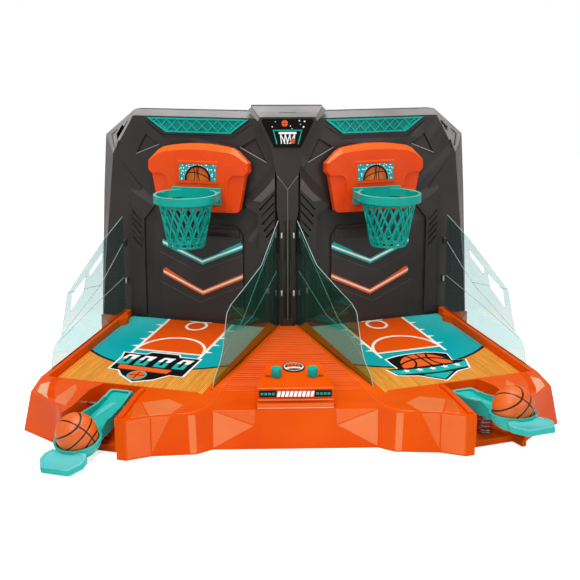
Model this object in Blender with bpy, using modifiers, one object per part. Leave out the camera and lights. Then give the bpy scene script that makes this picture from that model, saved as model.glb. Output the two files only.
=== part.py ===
"""Two-player tabletop basketball hoop machine, modelled as its separate pieces.

Two lanes splay apart from a common spine.  Each lane has a sloping court, a tall back panel with
a backboard and hoop, a clear shield on both sides and a ball launcher in a pod at the front.
A console with two score knobs stands between the lanes.

Frame: metres, +X to the players' right, +Y to the back, +Z up.  The origin is on the resting
plane, on the plane of symmetry.  Every lane is modelled in lane coordinates: u runs outwards
along the back panel's foot, v runs forwards down the court, z is up.
"""

import bmesh
import bpy
from math import atan, cos, pi, radians, sin, tan
from mathutils import Matrix, Vector

OBJECT_NAME = "basketball_hoop_machine"

# ---------------------------------------------------------------- driving dimensions
GAP = 0.0003                    # between pieces that touch
WALL = 0.0022                   # moulded walls
SKIN = 0.0006                   # printed sheets and thin inserts
OVERLAP = 0.001                 # how far a joined or cutting shape reaches into its neighbour

# lanes
LANE_ANGLE = radians(21.35)     # how far each lane turns out from straight ahead
LANE_ORIGIN = (0.0161, 0.0700)  # where a lane's back inner corner stands, x mirrored
COURT_WIDTH = 0.1342
COURT_LENGTH = 0.1500
COURT_BACK_Z = 0.0469           # upper face of the court at the back panel
COURT_SLOPE = radians(8.36)
COURT_SHEET = 0.0008
OUTER_RAIL_WIDTH = 0.0058
OUTER_RAIL_RISE = 0.0065
INNER_RAIL_WIDTH = 0.0120
INNER_RAIL_RISE = 0.0055
INNER_RAIL_LENGTH = 0.1600

# base
LEDGE_Z = 0.0440                # where the back panels stand
LEDGE_DEPTH = 0.0240
BASE_SIDE = 0.0062              # ground from the court's edge to the base's side
FOOT_FLARE = 0.0320             # how much further out the base reaches under a back panel
POD_Z = 0.0310                  # top of the pods and of the front apron
POD_START = 0.1510
POD_FRONT = 0.2296
POD_SIDE_DRAFT = 0.0060
WEDGE_BACK_Z = 0.0515           # ribbed wedge between the lanes
WEDGE_SLOPE = radians(8.1)
RIB_PITCH = 0.0036
RIB_GROOVE = (0.0016, 0.0008)   # width and depth of the grooves between the ribs
RIBS_FROM_Y = 0.0540
RIBS_TO_Y = -0.0700
APRON_BACK = (0.0580, -0.0740)  # where the level apron starts beside an inner rail
FRONT_WALL_Y = -0.1133
FRONT_WALL_HALF = 0.0615
BOTTOM_PLATE = 0.0018
BOTTOM_SCREW_RADIUS = 0.0030
BOTTOM_SCREW_HEIGHT = 0.0070
BOSS_RADIUS = 0.0040

# launcher slot and lever
SLOT_FLOOR = 0.0050
SLOT_BACK = 0.1530
SLOT_BACK_U = (0.0475, 0.0830)  # the slot's back corners
SLOT_KNEE = (0.0453, 0.1745)    # where the inner wall turns towards the mouth
SLOT_WIDEST = (0.0855, 0.1720)
SLOT_NARROWING = (0.0778, 0.2120)
SLOT_MOUTH_U = (0.0320, 0.0765)
SLOT_FLOOR_END = 0.2160         # the floor stops here, leaving room for a pressed cup
LAUNCH_U = 0.0600               # the launcher's centre line
PIVOT_V = 0.1780
PIVOT_Z = 0.0220
PIN_RADIUS = 0.0015
PIN_CLEARANCE = 0.0002
PIN_ENDS_U = (0.0412, 0.0860)
HUB_RADIUS = 0.0042
HUB_HALF = 0.0100
PRESS_ANGLE = radians(15.5)     # travel of a lever from released to pressed
CUP_V = 0.2370
BALL_RADIUS = 0.0155
BALL_Z = 0.0362                 # centre of a ball in a released lever
CUP_WALL = 0.0018
CUP_CLEARANCE = 0.0004
CUP_RIM_DROP = 0.0042           # how far the rim lies below the ball's centre
CUP_DEPTH = 0.0142              # from the rim to the cup's lowest point
TAB_WIDTH = 0.0340
TAB_LENGTH = 0.0225
TAB_THICKNESS = 0.0038
TAB_TOP_Z = 0.0298
SPRING_V = 0.2000
SPRING_RADIUS = 0.0058
SPRING_WIRE = 0.0007
SPRING_TURNS = 4
SPRING_POINTS = 14              # points in each turn

# back panels
PANEL_DEPTH = 0.0200
PANEL_BEVEL_DEPTH = 0.0080
PANEL_INNER_U = -0.0080
PANEL_TOP_Z = 0.2302
PANEL_RIDGE_Z = 0.2356
COVER_THICKNESS = 0.0017
BLOCK_RISE = 0.0050
COLUMN_RISE = 0.0022
VENT_SIZE = (0.0165, 0.0024)
VENT_DEPTH = 0.0014
VENT_PITCH = 0.0058
VENT_COUNT = 5

# spine
SPINE_FRONT_Y = 0.0615
SPINE_TIP_HALF = 0.0045
SPINE_WAIST_HALF = 0.0079
SPINE_HEEL_HALF = 0.0028
PICTURE_Y = 0.0625
PICTURE_THICKNESS = 0.0035
CAP_TOP_Z = 0.2407

# backboard and hoop
BOARD_CENTRE_U = 0.0620
BOARD_BACK_V = 0.0040
BOARD_THICKNESS = 0.0080
STICKER_SIZE = (0.0346, 0.0139)
STICKER_OFFSET = -0.0011        # from the board's middle, inwards
STICKER_Z = 0.1834
RIM_CENTRE_U = 0.0620
RIM_CENTRE_V = 0.0365
RIM_OUTER = 0.0277
RIM_WALL = 0.0026
RIM_TOP_Z = 0.1670
RIM_HEIGHT = 0.0078
BRACKET_WIDTH = 0.0460
BRACKET_Z = (0.1525, 0.1690)
BRACKET_THICKNESS = 0.0022
NECK_WIDTH = 0.0026
NET_TOP_RADIUS = 0.0230
NET_COLLAR = 0.0012             # how far the net's collar stands out under the rim
NET_BOTTOM_RADIUS = 0.0157
NET_WALL = 0.0014
NET_BOTTOM_Z = 0.1228

# shields
SHIELD_THICKNESS = 0.0008
SHIELD_OUTER_U = 0.1385
SHIELD_INNER_U = -0.0113        # inner face of the inner shield where its line meets the panel
SHIELD_INNER_TURN = radians(2.4)  # the inner shield opens towards the front
SHIELD_BACK_V = 0.0058
GROOVE_DEPTH = 0.0030

# console
CONSOLE_HALF_FRONT = 0.0285
CONSOLE_HALF_BACK = 0.0200
CONSOLE_FRONT_Y = -0.1085
CONSOLE_BACK_Y = -0.0660
CONSOLE_EDGE_Z = 0.0460
CONSOLE_TILT = radians(9.5)     # the console's top rises towards the back
CONSOLE_WALL = 0.0016
LIP_Y = -0.1130
LIP_Z = 0.0350
KNOB_X = 0.0137
KNOB_FROM_EDGE = 0.0195         # along the tilted top from its front edge
KNOB_RADIUS = 0.0038
KNOB_HEIGHT = 0.0068
KNOB_SHAFT = 0.0018
DIAL_RADIUS = 0.0090
DIAL_THICKNESS = 0.0012
DIAL_DROP = 0.0022              # from the top's outer face to the dial
WINDOW_SIZE = (0.0040, 0.0034)
WINDOW_OFFSET = 0.0063          # from the knob's axis outwards
LABEL_SIZE = (0.0125, 0.0048)
LABEL_X = 0.0206
BADGE_RADIUS = 0.0085


# ---------------------------------------------------------------- lane geometry
def court_z(v):
    """Height of the court's upper face."""
    return COURT_BACK_Z - tan(COURT_SLOPE) * v


def lane_to_world(u, v):
    """Plan position of a point of the right lane."""
    x = LANE_ORIGIN[0] + u * cos(LANE_ANGLE) + v * sin(LANE_ANGLE)
    y = LANE_ORIGIN[1] + u * sin(LANE_ANGLE) - v * cos(LANE_ANGLE)
    return (x, y)


def arc(centre, radius, start, end, count):
    """Points on an arc, its ends included; angles in degrees."""
    points = []
    for i in range(count):
        angle = radians(start + (end - start) * i / (count - 1))
        points.append((centre[0] + radius * cos(angle), centre[1] + radius * sin(angle)))
    return points


def inset(outline, distance):
    """A counter-clockwise outline moved inwards by a distance, corner by corner."""
    result = []
    count = len(outline)
    for i in range(count):
        before = Vector(outline[i - 1])
        here = Vector(outline[i])
        after = Vector(outline[(i + 1) % count])
        first = (here - before).normalized()
        second = (after - here).normalized()
        normal = (Vector((-first.y, first.x)) + Vector((-second.y, second.x))).normalized()
        reach = distance / max(0.35, normal.dot(Vector((-first.y, first.x))))
        moved = here + normal * reach
        result.append((moved.x, moved.y))
    return result


# ---------------------------------------------------------------- scene set-up
def clear_scene():
    """Remove what an empty file starts with."""
    for thing in list(bpy.data.objects):
        bpy.data.objects.remove(thing, do_unlink=True)


def new_collection(name):
    """A collection of the scene."""
    collection = bpy.data.collections.new(name)
    bpy.context.scene.collection.children.link(collection)
    return collection


clear_scene()
PARTS = new_collection(OBJECT_NAME)
CUTTERS = new_collection("cutters")


def material(name, colour, roughness, metallic=0.0, alpha=1.0):
    """A Principled material."""
    made = bpy.data.materials.new(name)
    made.use_nodes = True
    shader = made.node_tree.nodes["Principled BSDF"]
    shader.inputs["Base Color"].default_value = (*colour, 1.0)
    shader.inputs["Roughness"].default_value = roughness
    shader.inputs["Metallic"].default_value = metallic
    shader.inputs["Alpha"].default_value = alpha
    return made


ORANGE = material("orange_plastic", (0.85, 0.13, 0.02), 0.35)
CHARCOAL = material("charcoal_plastic", (0.055, 0.048, 0.047), 0.45)
TEAL = material("teal_plastic", (0.02, 0.45, 0.37), 0.35)
CLEAR = material("clear_sheet", (0.45, 0.80, 0.76), 0.1, alpha=0.35)
PRINT = material("printed_sheet", (0.90, 0.55, 0.20), 0.4)
DARK = material("black_print", (0.02, 0.02, 0.02), 0.4)
WHITE = material("white_plastic", (0.85, 0.85, 0.82), 0.4)
STEEL = material("steel", (0.55, 0.55, 0.55), 0.3, metallic=1.0)
GREY = material("grey_plastic", (0.25, 0.26, 0.28), 0.5)


def lane_frame(side):
    """The empty that carries everything of one lane; side is 1 on the right, -1 on the left."""
    frame = bpy.data.objects.new(f"lane_frame_{side_name(side)}", None)
    frame.location = (side * LANE_ORIGIN[0], LANE_ORIGIN[1], 0.0)
    frame.rotation_euler = (0.0, 0.0, side * LANE_ANGLE)
    PARTS.objects.link(frame)
    return frame


def side_name(side):
    """Name of a side."""
    return "right" if side > 0 else "left"


def as_cutter(thing):
    """Put an object among the shapes that only cut or join others."""
    for collection in list(thing.users_collection):
        collection.objects.unlink(thing)
    CUTTERS.objects.link(thing)
    thing.hide_render = True
    thing.display_type = "WIRE"
    return thing


def finish(thing, look=None, parent=None, smooth=False):
    """Give a new object its material, parent and shading."""
    if look:
        thing.data.materials.clear()
        thing.data.materials.append(look)
    if parent:
        thing.parent = parent
    if smooth:
        thing.data.shade_smooth()
        thing.data.set_sharp_from_angle(angle=radians(35))
    return thing


def object_from_bmesh(name, shape):
    """Turn a bmesh into an object of the parts collection."""
    mesh = bpy.data.meshes.new(name)
    bmesh.ops.recalc_face_normals(shape, faces=shape.faces)
    shape.to_mesh(mesh)
    shape.free()
    thing = bpy.data.objects.new(name, mesh)
    PARTS.objects.link(thing)
    return thing


def outline_solid(name, outlines, thickness):
    """A flat outline, with any holes, given a thickness: it spans z 0 to thickness."""
    curve = bpy.data.curves.new(name, "CURVE")
    curve.dimensions = "2D"
    curve.fill_mode = "BOTH"
    curve.extrude = thickness / 2
    for outline in outlines:
        spline = curve.splines.new("POLY")
        spline.points.add(len(outline) - 1)
        spline.use_cyclic_u = True
        for point, (x, y) in zip(spline.points, outline):
            point.co = (x, y, 0.0, 1.0)
    sketch = bpy.data.objects.new(name + "_sketch", curve)
    PARTS.objects.link(sketch)
    bpy.context.view_layer.update()
    graph = bpy.context.evaluated_depsgraph_get()
    mesh = bpy.data.meshes.new_from_object(sketch.evaluated_get(graph))
    bpy.data.objects.remove(sketch, do_unlink=True)
    shape = bmesh.new()
    shape.from_mesh(mesh)
    bmesh.ops.remove_doubles(shape, verts=shape.verts, dist=0.000005)
    bmesh.ops.translate(shape, verts=shape.verts, vec=(0.0, 0.0, thickness / 2))
    shape.to_mesh(mesh)
    shape.free()
    thing = bpy.data.objects.new(name, mesh)
    PARTS.objects.link(thing)
    return thing


def upright(name, outlines, v_back, thickness, side):
    """A plate across the lane: outlines in (u, z), thickness towards the front."""
    mirrored = [[(side * u, z) for u, z in outline] for outline in outlines]
    thing = outline_solid(name, mirrored, thickness)
    thing.rotation_euler = (pi / 2, 0.0, 0.0)
    thing.location = (0.0, -v_back, 0.0)
    return thing


def lengthwise(name, outlines, u_low, thickness, side):
    """A plate along the lane: outlines in (v, z), thickness outwards."""
    thing = outline_solid(name, outlines, thickness)
    thing.rotation_euler = (pi / 2, 0.0, -pi / 2)
    thing.location.x = u_low + thickness if side > 0 else -u_low
    return thing


def loft(name, rings):
    """A solid through rings with equal numbers of points, capped at both ends."""
    shape = bmesh.new()
    made = [[shape.verts.new(point) for point in ring] for ring in rings]
    count = len(made[0])
    for low, high in zip(made, made[1:]):
        for i in range(count):
            after = (i + 1) % count
            shape.faces.new((low[i], low[after], high[after], high[i]))
    shape.faces.new(made[0][::-1])
    shape.faces.new(made[-1])
    return object_from_bmesh(name, shape)


def lane_block(name, outline, z_low, top, side):
    """A block of a lane: a plan outline in (u, v), a flat foot and a top that may slope."""
    low = [(side * u, -v, z_low) for u, v in outline]
    high = [(side * u, -v, top(u, v)) for u, v in outline]
    return loft(name, [low, high])


def cylinder(name, radius, depth, location, rotation=(0.0, 0.0, 0.0), sides=32):
    """A cylinder centred on its location."""
    shape = bmesh.new()
    bmesh.ops.create_cone(shape, cap_ends=True, segments=sides, radius1=radius, radius2=radius,
                          depth=depth)
    thing = object_from_bmesh(name, shape)
    thing.location = location
    thing.rotation_euler = rotation
    return thing


def box(name, size, centre):
    """A box with its own size in its mesh."""
    shape = bmesh.new()
    bmesh.ops.create_cube(shape, size=1.0)
    bmesh.ops.scale(shape, verts=shape.verts, vec=size)
    thing = object_from_bmesh(name, shape)
    thing.location = centre
    return thing


def turned(name, profile, steps=32):
    """A turned solid: a closed profile of (radius, z) points, down its outer side."""
    mesh = bpy.data.meshes.new(name)
    points = [(radius, 0.0, z) for radius, z in profile]
    edges = [(i, i + 1) for i in range(len(points) - 1)]
    mesh.from_pydata(points, edges, [])
    thing = bpy.data.objects.new(name, mesh)
    PARTS.objects.link(thing)
    screw = thing.modifiers.new("turn", "SCREW")
    screw.steps = steps
    screw.render_steps = steps
    screw.use_merge_vertices = True
    screw.merge_threshold = 0.00001
    return thing


def boolean(thing, tool, operation):
    """Join a shape to an object, or cut it away."""
    as_cutter(tool)
    modifier = thing.modifiers.new(tool.name, "BOOLEAN")
    modifier.operation = operation
    modifier.object = tool
    modifier.solver = "EXACT"
    return modifier


def bevel(thing, width, segments=1, angle=40.0):
    """Round the sharp edges."""
    modifier = thing.modifiers.new("edges", "BEVEL")
    modifier.width = width
    modifier.segments = segments
    modifier.limit_method = "ANGLE"
    modifier.angle_limit = radians(angle)
    return modifier


# ---------------------------------------------------------------- base
def base_outline():
    """Ground outline of the right half in world plan coordinates, counter-clockwise."""
    side_u = COURT_WIDTH + BASE_SIDE
    foot_u = COURT_WIDTH + FOOT_FLARE
    right = [
        (FRONT_WALL_HALF, FRONT_WALL_Y),
        (0.0730, FRONT_WALL_Y - 0.0095),
        (0.1060, FRONT_WALL_Y - 0.0125),
        lane_to_world(0.0260, POD_FRONT),
        lane_to_world(0.0788, POD_FRONT - 0.0010),
        lane_to_world(0.0814, POD_FRONT - 0.0075),
        lane_to_world(0.0945, POD_FRONT - 0.0162),
        lane_to_world(0.1320, POD_FRONT - 0.0346),
        lane_to_world(side_u, COURT_LENGTH),
        lane_to_world(side_u, 0.0280),
        lane_to_world(foot_u, 0.0020),
        lane_to_world(foot_u + 0.0060, -LEDGE_DEPTH),
    ]
    return right


def back_centre():
    """Where the two lanes' back edges meet on the symmetry plane."""
    u = (-LANE_ORIGIN[0] + LEDGE_DEPTH * sin(LANE_ANGLE)) / cos(LANE_ANGLE)
    return (0.0, lane_to_world(u, -LEDGE_DEPTH)[1])


def full_outline():
    """Ground outline of the whole base, counter-clockwise."""
    right = base_outline()
    left = [(-x, y) for x, y in reversed(right)]
    return right + [back_centre()] + left


def slot_outline(margin=0.0):
    """Plan outline of a launcher slot in (u, v), open past the pod's front."""
    return [
        (SLOT_BACK_U[0] - margin, SLOT_BACK - margin),
        (SLOT_BACK_U[1] + margin, SLOT_BACK - margin),
        (SLOT_WIDEST[0] + margin, SLOT_WIDEST[1]),
        (SLOT_NARROWING[0] + margin, SLOT_NARROWING[1]),
        (SLOT_MOUTH_U[1] + margin, POD_FRONT + 0.0100),
        (SLOT_MOUTH_U[0] - margin, POD_FRONT + 0.0100),
        (SLOT_KNEE[0] - margin, SLOT_KNEE[1]),
    ]


def slot_housing():
    """Plan outline of the walls round a slot."""
    ring = slot_outline(WALL)
    front = POD_FRONT - WALL
    return ring[:4] + [(SLOT_MOUTH_U[1] + WALL * 0.7, front), (SLOT_MOUTH_U[0], front), ring[-1]]


def pod_outline():
    """Plan outline of the right pod and its half of the front apron, counter-clockwise from x 0."""
    side_u = COURT_WIDTH + BASE_SIDE
    return [
        (0.0, FRONT_WALL_Y),
        *base_outline()[:8],
        lane_to_world(side_u - 0.0010, POD_START + 0.0040),
        lane_to_world(COURT_WIDTH, POD_START),
        lane_to_world(0.0040, POD_START),
        lane_to_world(PANEL_INNER_U, INNER_RAIL_LENGTH - OVERLAP),
        APRON_BACK,
    ]


def both_halves(right):
    """A closed outline from its right half, whose first point lies on the symmetry plane."""
    left = [(-x, y) for x, y in reversed(right[1:])]
    return right + left


def pods():
    """Both pods and the apron between them, in one block with slightly drafted outer sides."""
    ring = pod_outline()
    upper = list(ring)
    upper[7] = lane_to_world(0.0945 - POD_SIDE_DRAFT * 0.3, POD_FRONT - 0.0170)
    upper[8] = lane_to_world(0.1320 - POD_SIDE_DRAFT, POD_FRONT - 0.0380)
    low = [(x, y, -0.0010) for x, y in both_halves(ring)]
    high = [(x, y, POD_Z) for x, y in both_halves(upper)]
    return loft("pods", [low, high])


def base_blocks(side, frame):
    """The raised solids of one lane."""
    name = side_name(side)
    side_u = COURT_WIDTH + BASE_SIDE
    foot_u = COURT_WIDTH + FOOT_FLARE
    deck = [
        (-INNER_RAIL_WIDTH + OVERLAP, -LEDGE_DEPTH),
        (foot_u + 0.0060, -LEDGE_DEPTH),
        (foot_u, 0.0020),
        (side_u, 0.0280),
        (side_u, COURT_LENGTH),
        (side_u - 0.0040, COURT_LENGTH + 0.0080),
        (-INNER_RAIL_WIDTH + OVERLAP, COURT_LENGTH + 0.0080),
    ]
    below = -0.0020
    made = [lane_block("deck_" + name, deck, below, lambda u, v: court_z(v) - COURT_SHEET - GAP, side)]
    rail_start = 0.0020
    outer = [
        (COURT_WIDTH + GAP * 2, rail_start),
        (COURT_WIDTH + OUTER_RAIL_WIDTH, rail_start),
        (COURT_WIDTH + OUTER_RAIL_WIDTH, COURT_LENGTH + OVERLAP * 3),
        (COURT_WIDTH + GAP * 2, COURT_LENGTH + OVERLAP * 3),
    ]
    made.append(
        lane_block("outer_rail_" + name, outer, 0.010, lambda u, v: court_z(v) + OUTER_RAIL_RISE, side)
    )
    inner = [
        (-INNER_RAIL_WIDTH, rail_start),
        (-GAP * 2, rail_start),
        (-GAP * 2, INNER_RAIL_LENGTH),
        (-INNER_RAIL_WIDTH, INNER_RAIL_LENGTH),
    ]
    made.append(
        lane_block("inner_rail_" + name, inner, 0.010, lambda u, v: court_z(v) + INNER_RAIL_RISE, side)
    )
    for thing in made:
        thing.parent = frame
    return made


def wedge_top(y):
    """Height of the ribbed wedge between the lanes."""
    return WEDGE_BACK_Z - tan(WEDGE_SLOPE) * (LANE_ORIGIN[1] - y)


def centre_wedge():
    """The wedge between the two inner rails."""
    front = lane_to_world(-INNER_RAIL_WIDTH / 2, INNER_RAIL_LENGTH)
    back = lane_to_world(-INNER_RAIL_WIDTH / 2, 0.0)
    ring = [(front[0], front[1]), (back[0], back[1]), (0.0, back[1] + 0.0100),
            (-back[0], back[1]), (-front[0], front[1])]
    low = [(x, y, -0.0030) for x, y in ring]
    high = [(x, y, wedge_top(y)) for x, y in ring]
    return loft("centre_wedge", [low, high])


def rib_grooves():
    """The grooves across the wedge, in one cutter."""
    shape = bmesh.new()
    width, depth = RIB_GROOVE
    count = int((RIBS_FROM_Y - RIBS_TO_Y) / RIB_PITCH) + 1
    for i in range(count):
        y = RIBS_FROM_Y - i * RIB_PITCH
        edge_y = lane_to_world(-INNER_RAIL_WIDTH, 0.0)[1]
        reach = lane_to_world(-INNER_RAIL_WIDTH, (edge_y - y) / cos(LANE_ANGLE))[0] - OVERLAP
        made = bmesh.ops.create_cube(shape, size=1.0)["verts"]
        bmesh.ops.scale(shape, verts=made, vec=(2 * reach, width, 2 * depth))
        turn = Matrix.Rotation(WEDGE_SLOPE, 3, "X")
        bmesh.ops.rotate(shape, verts=made, cent=(0.0, 0.0, 0.0), matrix=turn)
        bmesh.ops.translate(shape, verts=made, vec=(0.0, y, wedge_top(y)))
    return object_from_bmesh("rib_grooves", shape)


def base_cavity(side, frame):
    """The hollows under one lane: below its court, and below its back ledge."""
    name = side_name(side)
    side_u = COURT_WIDTH + BASE_SIDE - WALL
    foot_u = COURT_WIDTH + FOOT_FLARE - WALL
    below = -0.0150
    deck = [
        (0.0, 0.0010),
        (foot_u - 0.0010, 0.0010),
        (side_u, 0.0270),
        (side_u, COURT_LENGTH + 0.0060),
        (0.0, COURT_LENGTH + 0.0060),
    ]
    ceiling = COURT_SHEET + GAP + WALL
    under_deck = lane_block("deck_cavity_" + name, deck, below, lambda u, v: court_z(v) - ceiling, side)
    ledge = [
        (0.0, -LEDGE_DEPTH + WALL),
        (foot_u + 0.0045, -LEDGE_DEPTH + WALL),
        (foot_u - 0.0015, 0.0025),
        (0.0, 0.0025),
    ]
    under_ledge = lane_block("ledge_cavity_" + name, ledge, below, lambda u, v: LEDGE_Z - WALL, side)
    under_deck.parent = frame
    under_ledge.parent = frame
    return [under_deck, under_ledge]


def pod_cavity():
    """The hollow under both pods and the apron."""
    inner = [
        (0.0, FRONT_WALL_Y + WALL),
        (FRONT_WALL_HALF - 0.0008, FRONT_WALL_Y + WALL),
        (0.0738, FRONT_WALL_Y - 0.0095 + WALL),
        (0.1052, FRONT_WALL_Y - 0.0125 + WALL),
        lane_to_world(0.0260 + WALL, POD_FRONT - WALL * 1.6),
        lane_to_world(0.0750, POD_FRONT - 0.0010 - WALL * 1.6),
        lane_to_world(0.0780, POD_FRONT - 0.0105),
        lane_to_world(0.0910, POD_FRONT - 0.0195),
        lane_to_world(0.1310 - POD_SIDE_DRAFT - WALL, POD_FRONT - 0.0415),
        lane_to_world(COURT_WIDTH + BASE_SIDE - WALL * 1.5, POD_START + WALL),
        lane_to_world(0.0040, POD_START + WALL),
        lane_to_world(PANEL_INNER_U, INNER_RAIL_LENGTH + WALL),
    ]
    low = [(x, y, -0.0160) for x, y in both_halves(inner)]
    high = [(x, y, POD_Z - WALL) for x, y in both_halves(inner)]
    return loft("pod_cavity", [low, high])


def wedge_cavity():
    """The hollow under the wedge."""
    front = lane_to_world(OVERLAP, POD_START + WALL * 2)
    back = lane_to_world(OVERLAP, 0.0080)
    ring = [(front[0], front[1]), (back[0], back[1]), (-back[0], back[1]), (-front[0], front[1])]
    low = [(x, y, -0.0170) for x, y in ring]
    high = [(x, y, wedge_top(y) - WALL * 1.9) for x, y in ring]
    return loft("wedge_cavity", [low, high])


def bottom_screw_places():
    """Plan places of the screws that hold the bottom plate, with the height of the deck above."""
    places = []
    for side in (1, -1):
        for u, v in ((0.1200, 0.0150), (0.1150, 0.1400), (0.0300, 0.0600)):
            x, y = lane_to_world(u, v)
            places.append((side * x, y, court_z(v) - COURT_SHEET - WALL))
    return places


def base_shell(frames):
    """The moulded lower body, open underneath, with decks, rails, pods and launcher slots."""
    shell = centre_wedge()
    shell.name = "base_shell"
    boolean(shell, pods(), "UNION")
    for side, frame in frames.items():
        for block in base_blocks(side, frame):
            boolean(shell, block, "UNION")
    for side, frame in frames.items():
        for hollow in base_cavity(side, frame):
            boolean(shell, hollow, "DIFFERENCE")
    boolean(shell, pod_cavity(), "DIFFERENCE")
    boolean(shell, wedge_cavity(), "DIFFERENCE")
    boolean(shell, rib_grooves(), "DIFFERENCE")
    recess = outline_solid("plate_recess", [inset(full_outline(), WALL)], 0.0100 + BOTTOM_PLATE + GAP)
    recess.location = (0.0, 0.0, -0.0100)
    boolean(shell, recess, "DIFFERENCE")
    for side, frame in frames.items():
        cut_lane(shell, side, frame)
    for i, (x, y, top) in enumerate(bottom_screw_places()):
        foot = BOTTOM_PLATE + GAP
        post = cylinder(f"boss_{i}", BOSS_RADIUS, top - foot, (x, y, (top + foot) / 2), sides=16)
        boolean(shell, post, "UNION")
        hole = cylinder(f"boss_hole_{i}", BOTTOM_SCREW_RADIUS * 0.5 + GAP, 0.0200,
                        (x, y, 0.0), sides=12)
        boolean(shell, hole, "DIFFERENCE")
    pocket = box("console_pocket", (2 * CONSOLE_HALF_FRONT + 0.0020, 0.0520, 0.0200),
                 (0.0, FRONT_WALL_Y + 0.0262, POD_Z - 0.0010 + 0.0100))
    boolean(shell, pocket, "DIFFERENCE")
    socket_front = SPINE_FRONT_Y - GAP
    socket = box("spine_socket", (2 * (SPINE_WAIST_HALF + GAP), 0.0400, 0.0400),
                 (0.0, socket_front + 0.0200, LEDGE_Z - GAP + 0.0200))
    boolean(shell, socket, "DIFFERENCE")
    table = box("below_table", (0.6000, 0.6000, 0.0300), (0.0, 0.0, -0.0150))
    boolean(shell, table, "DIFFERENCE")
    return finish(shell, ORANGE)


def cut_lane(shell, side, frame):
    """A lane's launcher slot in its housing, its shield grooves, ledge and pin hole."""
    name = side_name(side)
    wall = lane_block("slot_wall_" + name, slot_housing(), -0.0040, lambda u, v: POD_Z - OVERLAP, side)
    slot = lane_block("slot_cut_" + name, slot_outline(), SLOT_FLOOR, lambda u, v: POD_Z + 0.010, side)
    under = lane_block("slot_floor_cut_" + name, inset_slot_floor(), -0.0140,
                       lambda u, v: SLOT_FLOOR - WALL, side)
    ledge = lane_block("ledge_cut_" + name,
                       [(-0.0300, -LEDGE_DEPTH - 0.0100), (0.2000, -LEDGE_DEPTH - 0.0100),
                        (0.2000, 0.0), (-0.0300, 0.0)], LEDGE_Z, lambda u, v: 0.0800, side)
    relief = box("cup_relief_" + name, (0.0420, 0.0300, 0.0300),
                 (side * (SLOT_MOUTH_U[0] + SLOT_MOUTH_U[1]) / 2, -SLOT_FLOOR_END - 0.0150, -0.0090))
    pin = pin_body("pin_hole_" + name, PIN_RADIUS + PIN_CLEARANCE, GAP, side)
    tools = [(wall, "UNION"), (slot, "DIFFERENCE"), (under, "DIFFERENCE"), (relief, "DIFFERENCE"),
             (ledge, "DIFFERENCE"), (pin, "DIFFERENCE")]
    for label, u_low, turn, end, rise in (
            ("outer", SHIELD_OUTER_U, 0.0, 0.1415, OUTER_RAIL_RISE),
            ("inner", SHIELD_INNER_U, SHIELD_INNER_TURN, 0.1440, INNER_RAIL_RISE)):
        start = 0.0030
        near = u_low + start * tan(turn)
        far = u_low + end * tan(turn)
        high = SHIELD_THICKNESS + GAP
        groove = [(near - GAP, start), (near + high, start), (far + high, end), (far - GAP, end)]
        tools.append((lane_groove(f"{label}_groove_{name}", groove, rise, side), "DIFFERENCE"))
    for tool, operation in tools:
        tool.parent = frame
        boolean(shell, tool, operation)


def pin_body(name, radius, extra, side):
    """A cylinder on a lever's axis, from wall to wall of its slot."""
    length = PIN_ENDS_U[1] - PIN_ENDS_U[0] + 2 * extra
    middle = (PIN_ENDS_U[0] + PIN_ENDS_U[1]) / 2
    return cylinder(name, radius, length, (side * middle, -PIVOT_V, PIVOT_Z), (0.0, pi / 2, 0.0), 24)


def inset_slot_floor():
    """Plan outline of the hollow under a slot's floor."""
    ring = slot_outline(-WALL)
    front = SLOT_FLOOR_END - WALL
    return ring[:3] + [(SLOT_NARROWING[0] - WALL, front), (SLOT_MOUTH_U[0] + WALL * 3, front), ring[-1]]


def lane_groove(name, outline, rise, side):
    """A cutter whose floor and top follow the court's slope."""
    low = [(side * u, -v, court_z(v) + rise - GROOVE_DEPTH) for u, v in outline]
    high = [(side * u, -v, court_z(v) + rise + 0.010) for u, v in outline]
    return loft(name, [low, high])


def bottom_plate():
    """The plate that closes the base; its underside rests on the table."""
    ring = inset(full_outline(), WALL + GAP * 2)
    plate = outline_solid("base_bottom_plate", [ring], BOTTOM_PLATE)
    for i, (x, y, _) in enumerate(bottom_screw_places()):
        hole = cylinder(f"plate_hole_{i}", BOTTOM_SCREW_RADIUS + GAP, 0.0020, (x, y, 0.0), sides=16)
        boolean(plate, hole, "DIFFERENCE")
        shank = cylinder(f"plate_shank_hole_{i}", BOTTOM_SCREW_RADIUS * 0.5 + GAP, 0.0200, (x, y, 0.0),
                         sides=12)
        boolean(plate, shank, "DIFFERENCE")
    for side in (1, -1):
        ring_cut = [lane_to_world(u, v) for u, v in slot_outline(WALL + GAP * 2)]
        low = [(side * x, y, -OVERLAP) for x, y in ring_cut]
        high = [(side * x, y, 0.0100) for x, y in ring_cut]
        boolean(plate, loft(f"plate_slot_cut_{side_name(side)}", [low, high]), "DIFFERENCE")
    return finish(plate, GREY)


def bottom_screws():
    """Screws that hold the bottom plate to the base."""
    for i, (x, y, _) in enumerate(bottom_screw_places()):
        head = turned(f"base_screw_{i + 1}", [
            (0.0, BOTTOM_SCREW_HEIGHT),
            (BOTTOM_SCREW_RADIUS * 0.5, BOTTOM_SCREW_HEIGHT - 0.0005),
            (BOTTOM_SCREW_RADIUS * 0.5, 0.0010 - GAP),
            (BOTTOM_SCREW_RADIUS, 0.0010 - GAP),
            (BOTTOM_SCREW_RADIUS, 0.0002),
            (0.0, 0.0002),
        ], 12)
        head.location = (x, y, 0.0)
        finish(head, STEEL, smooth=True)


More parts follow.
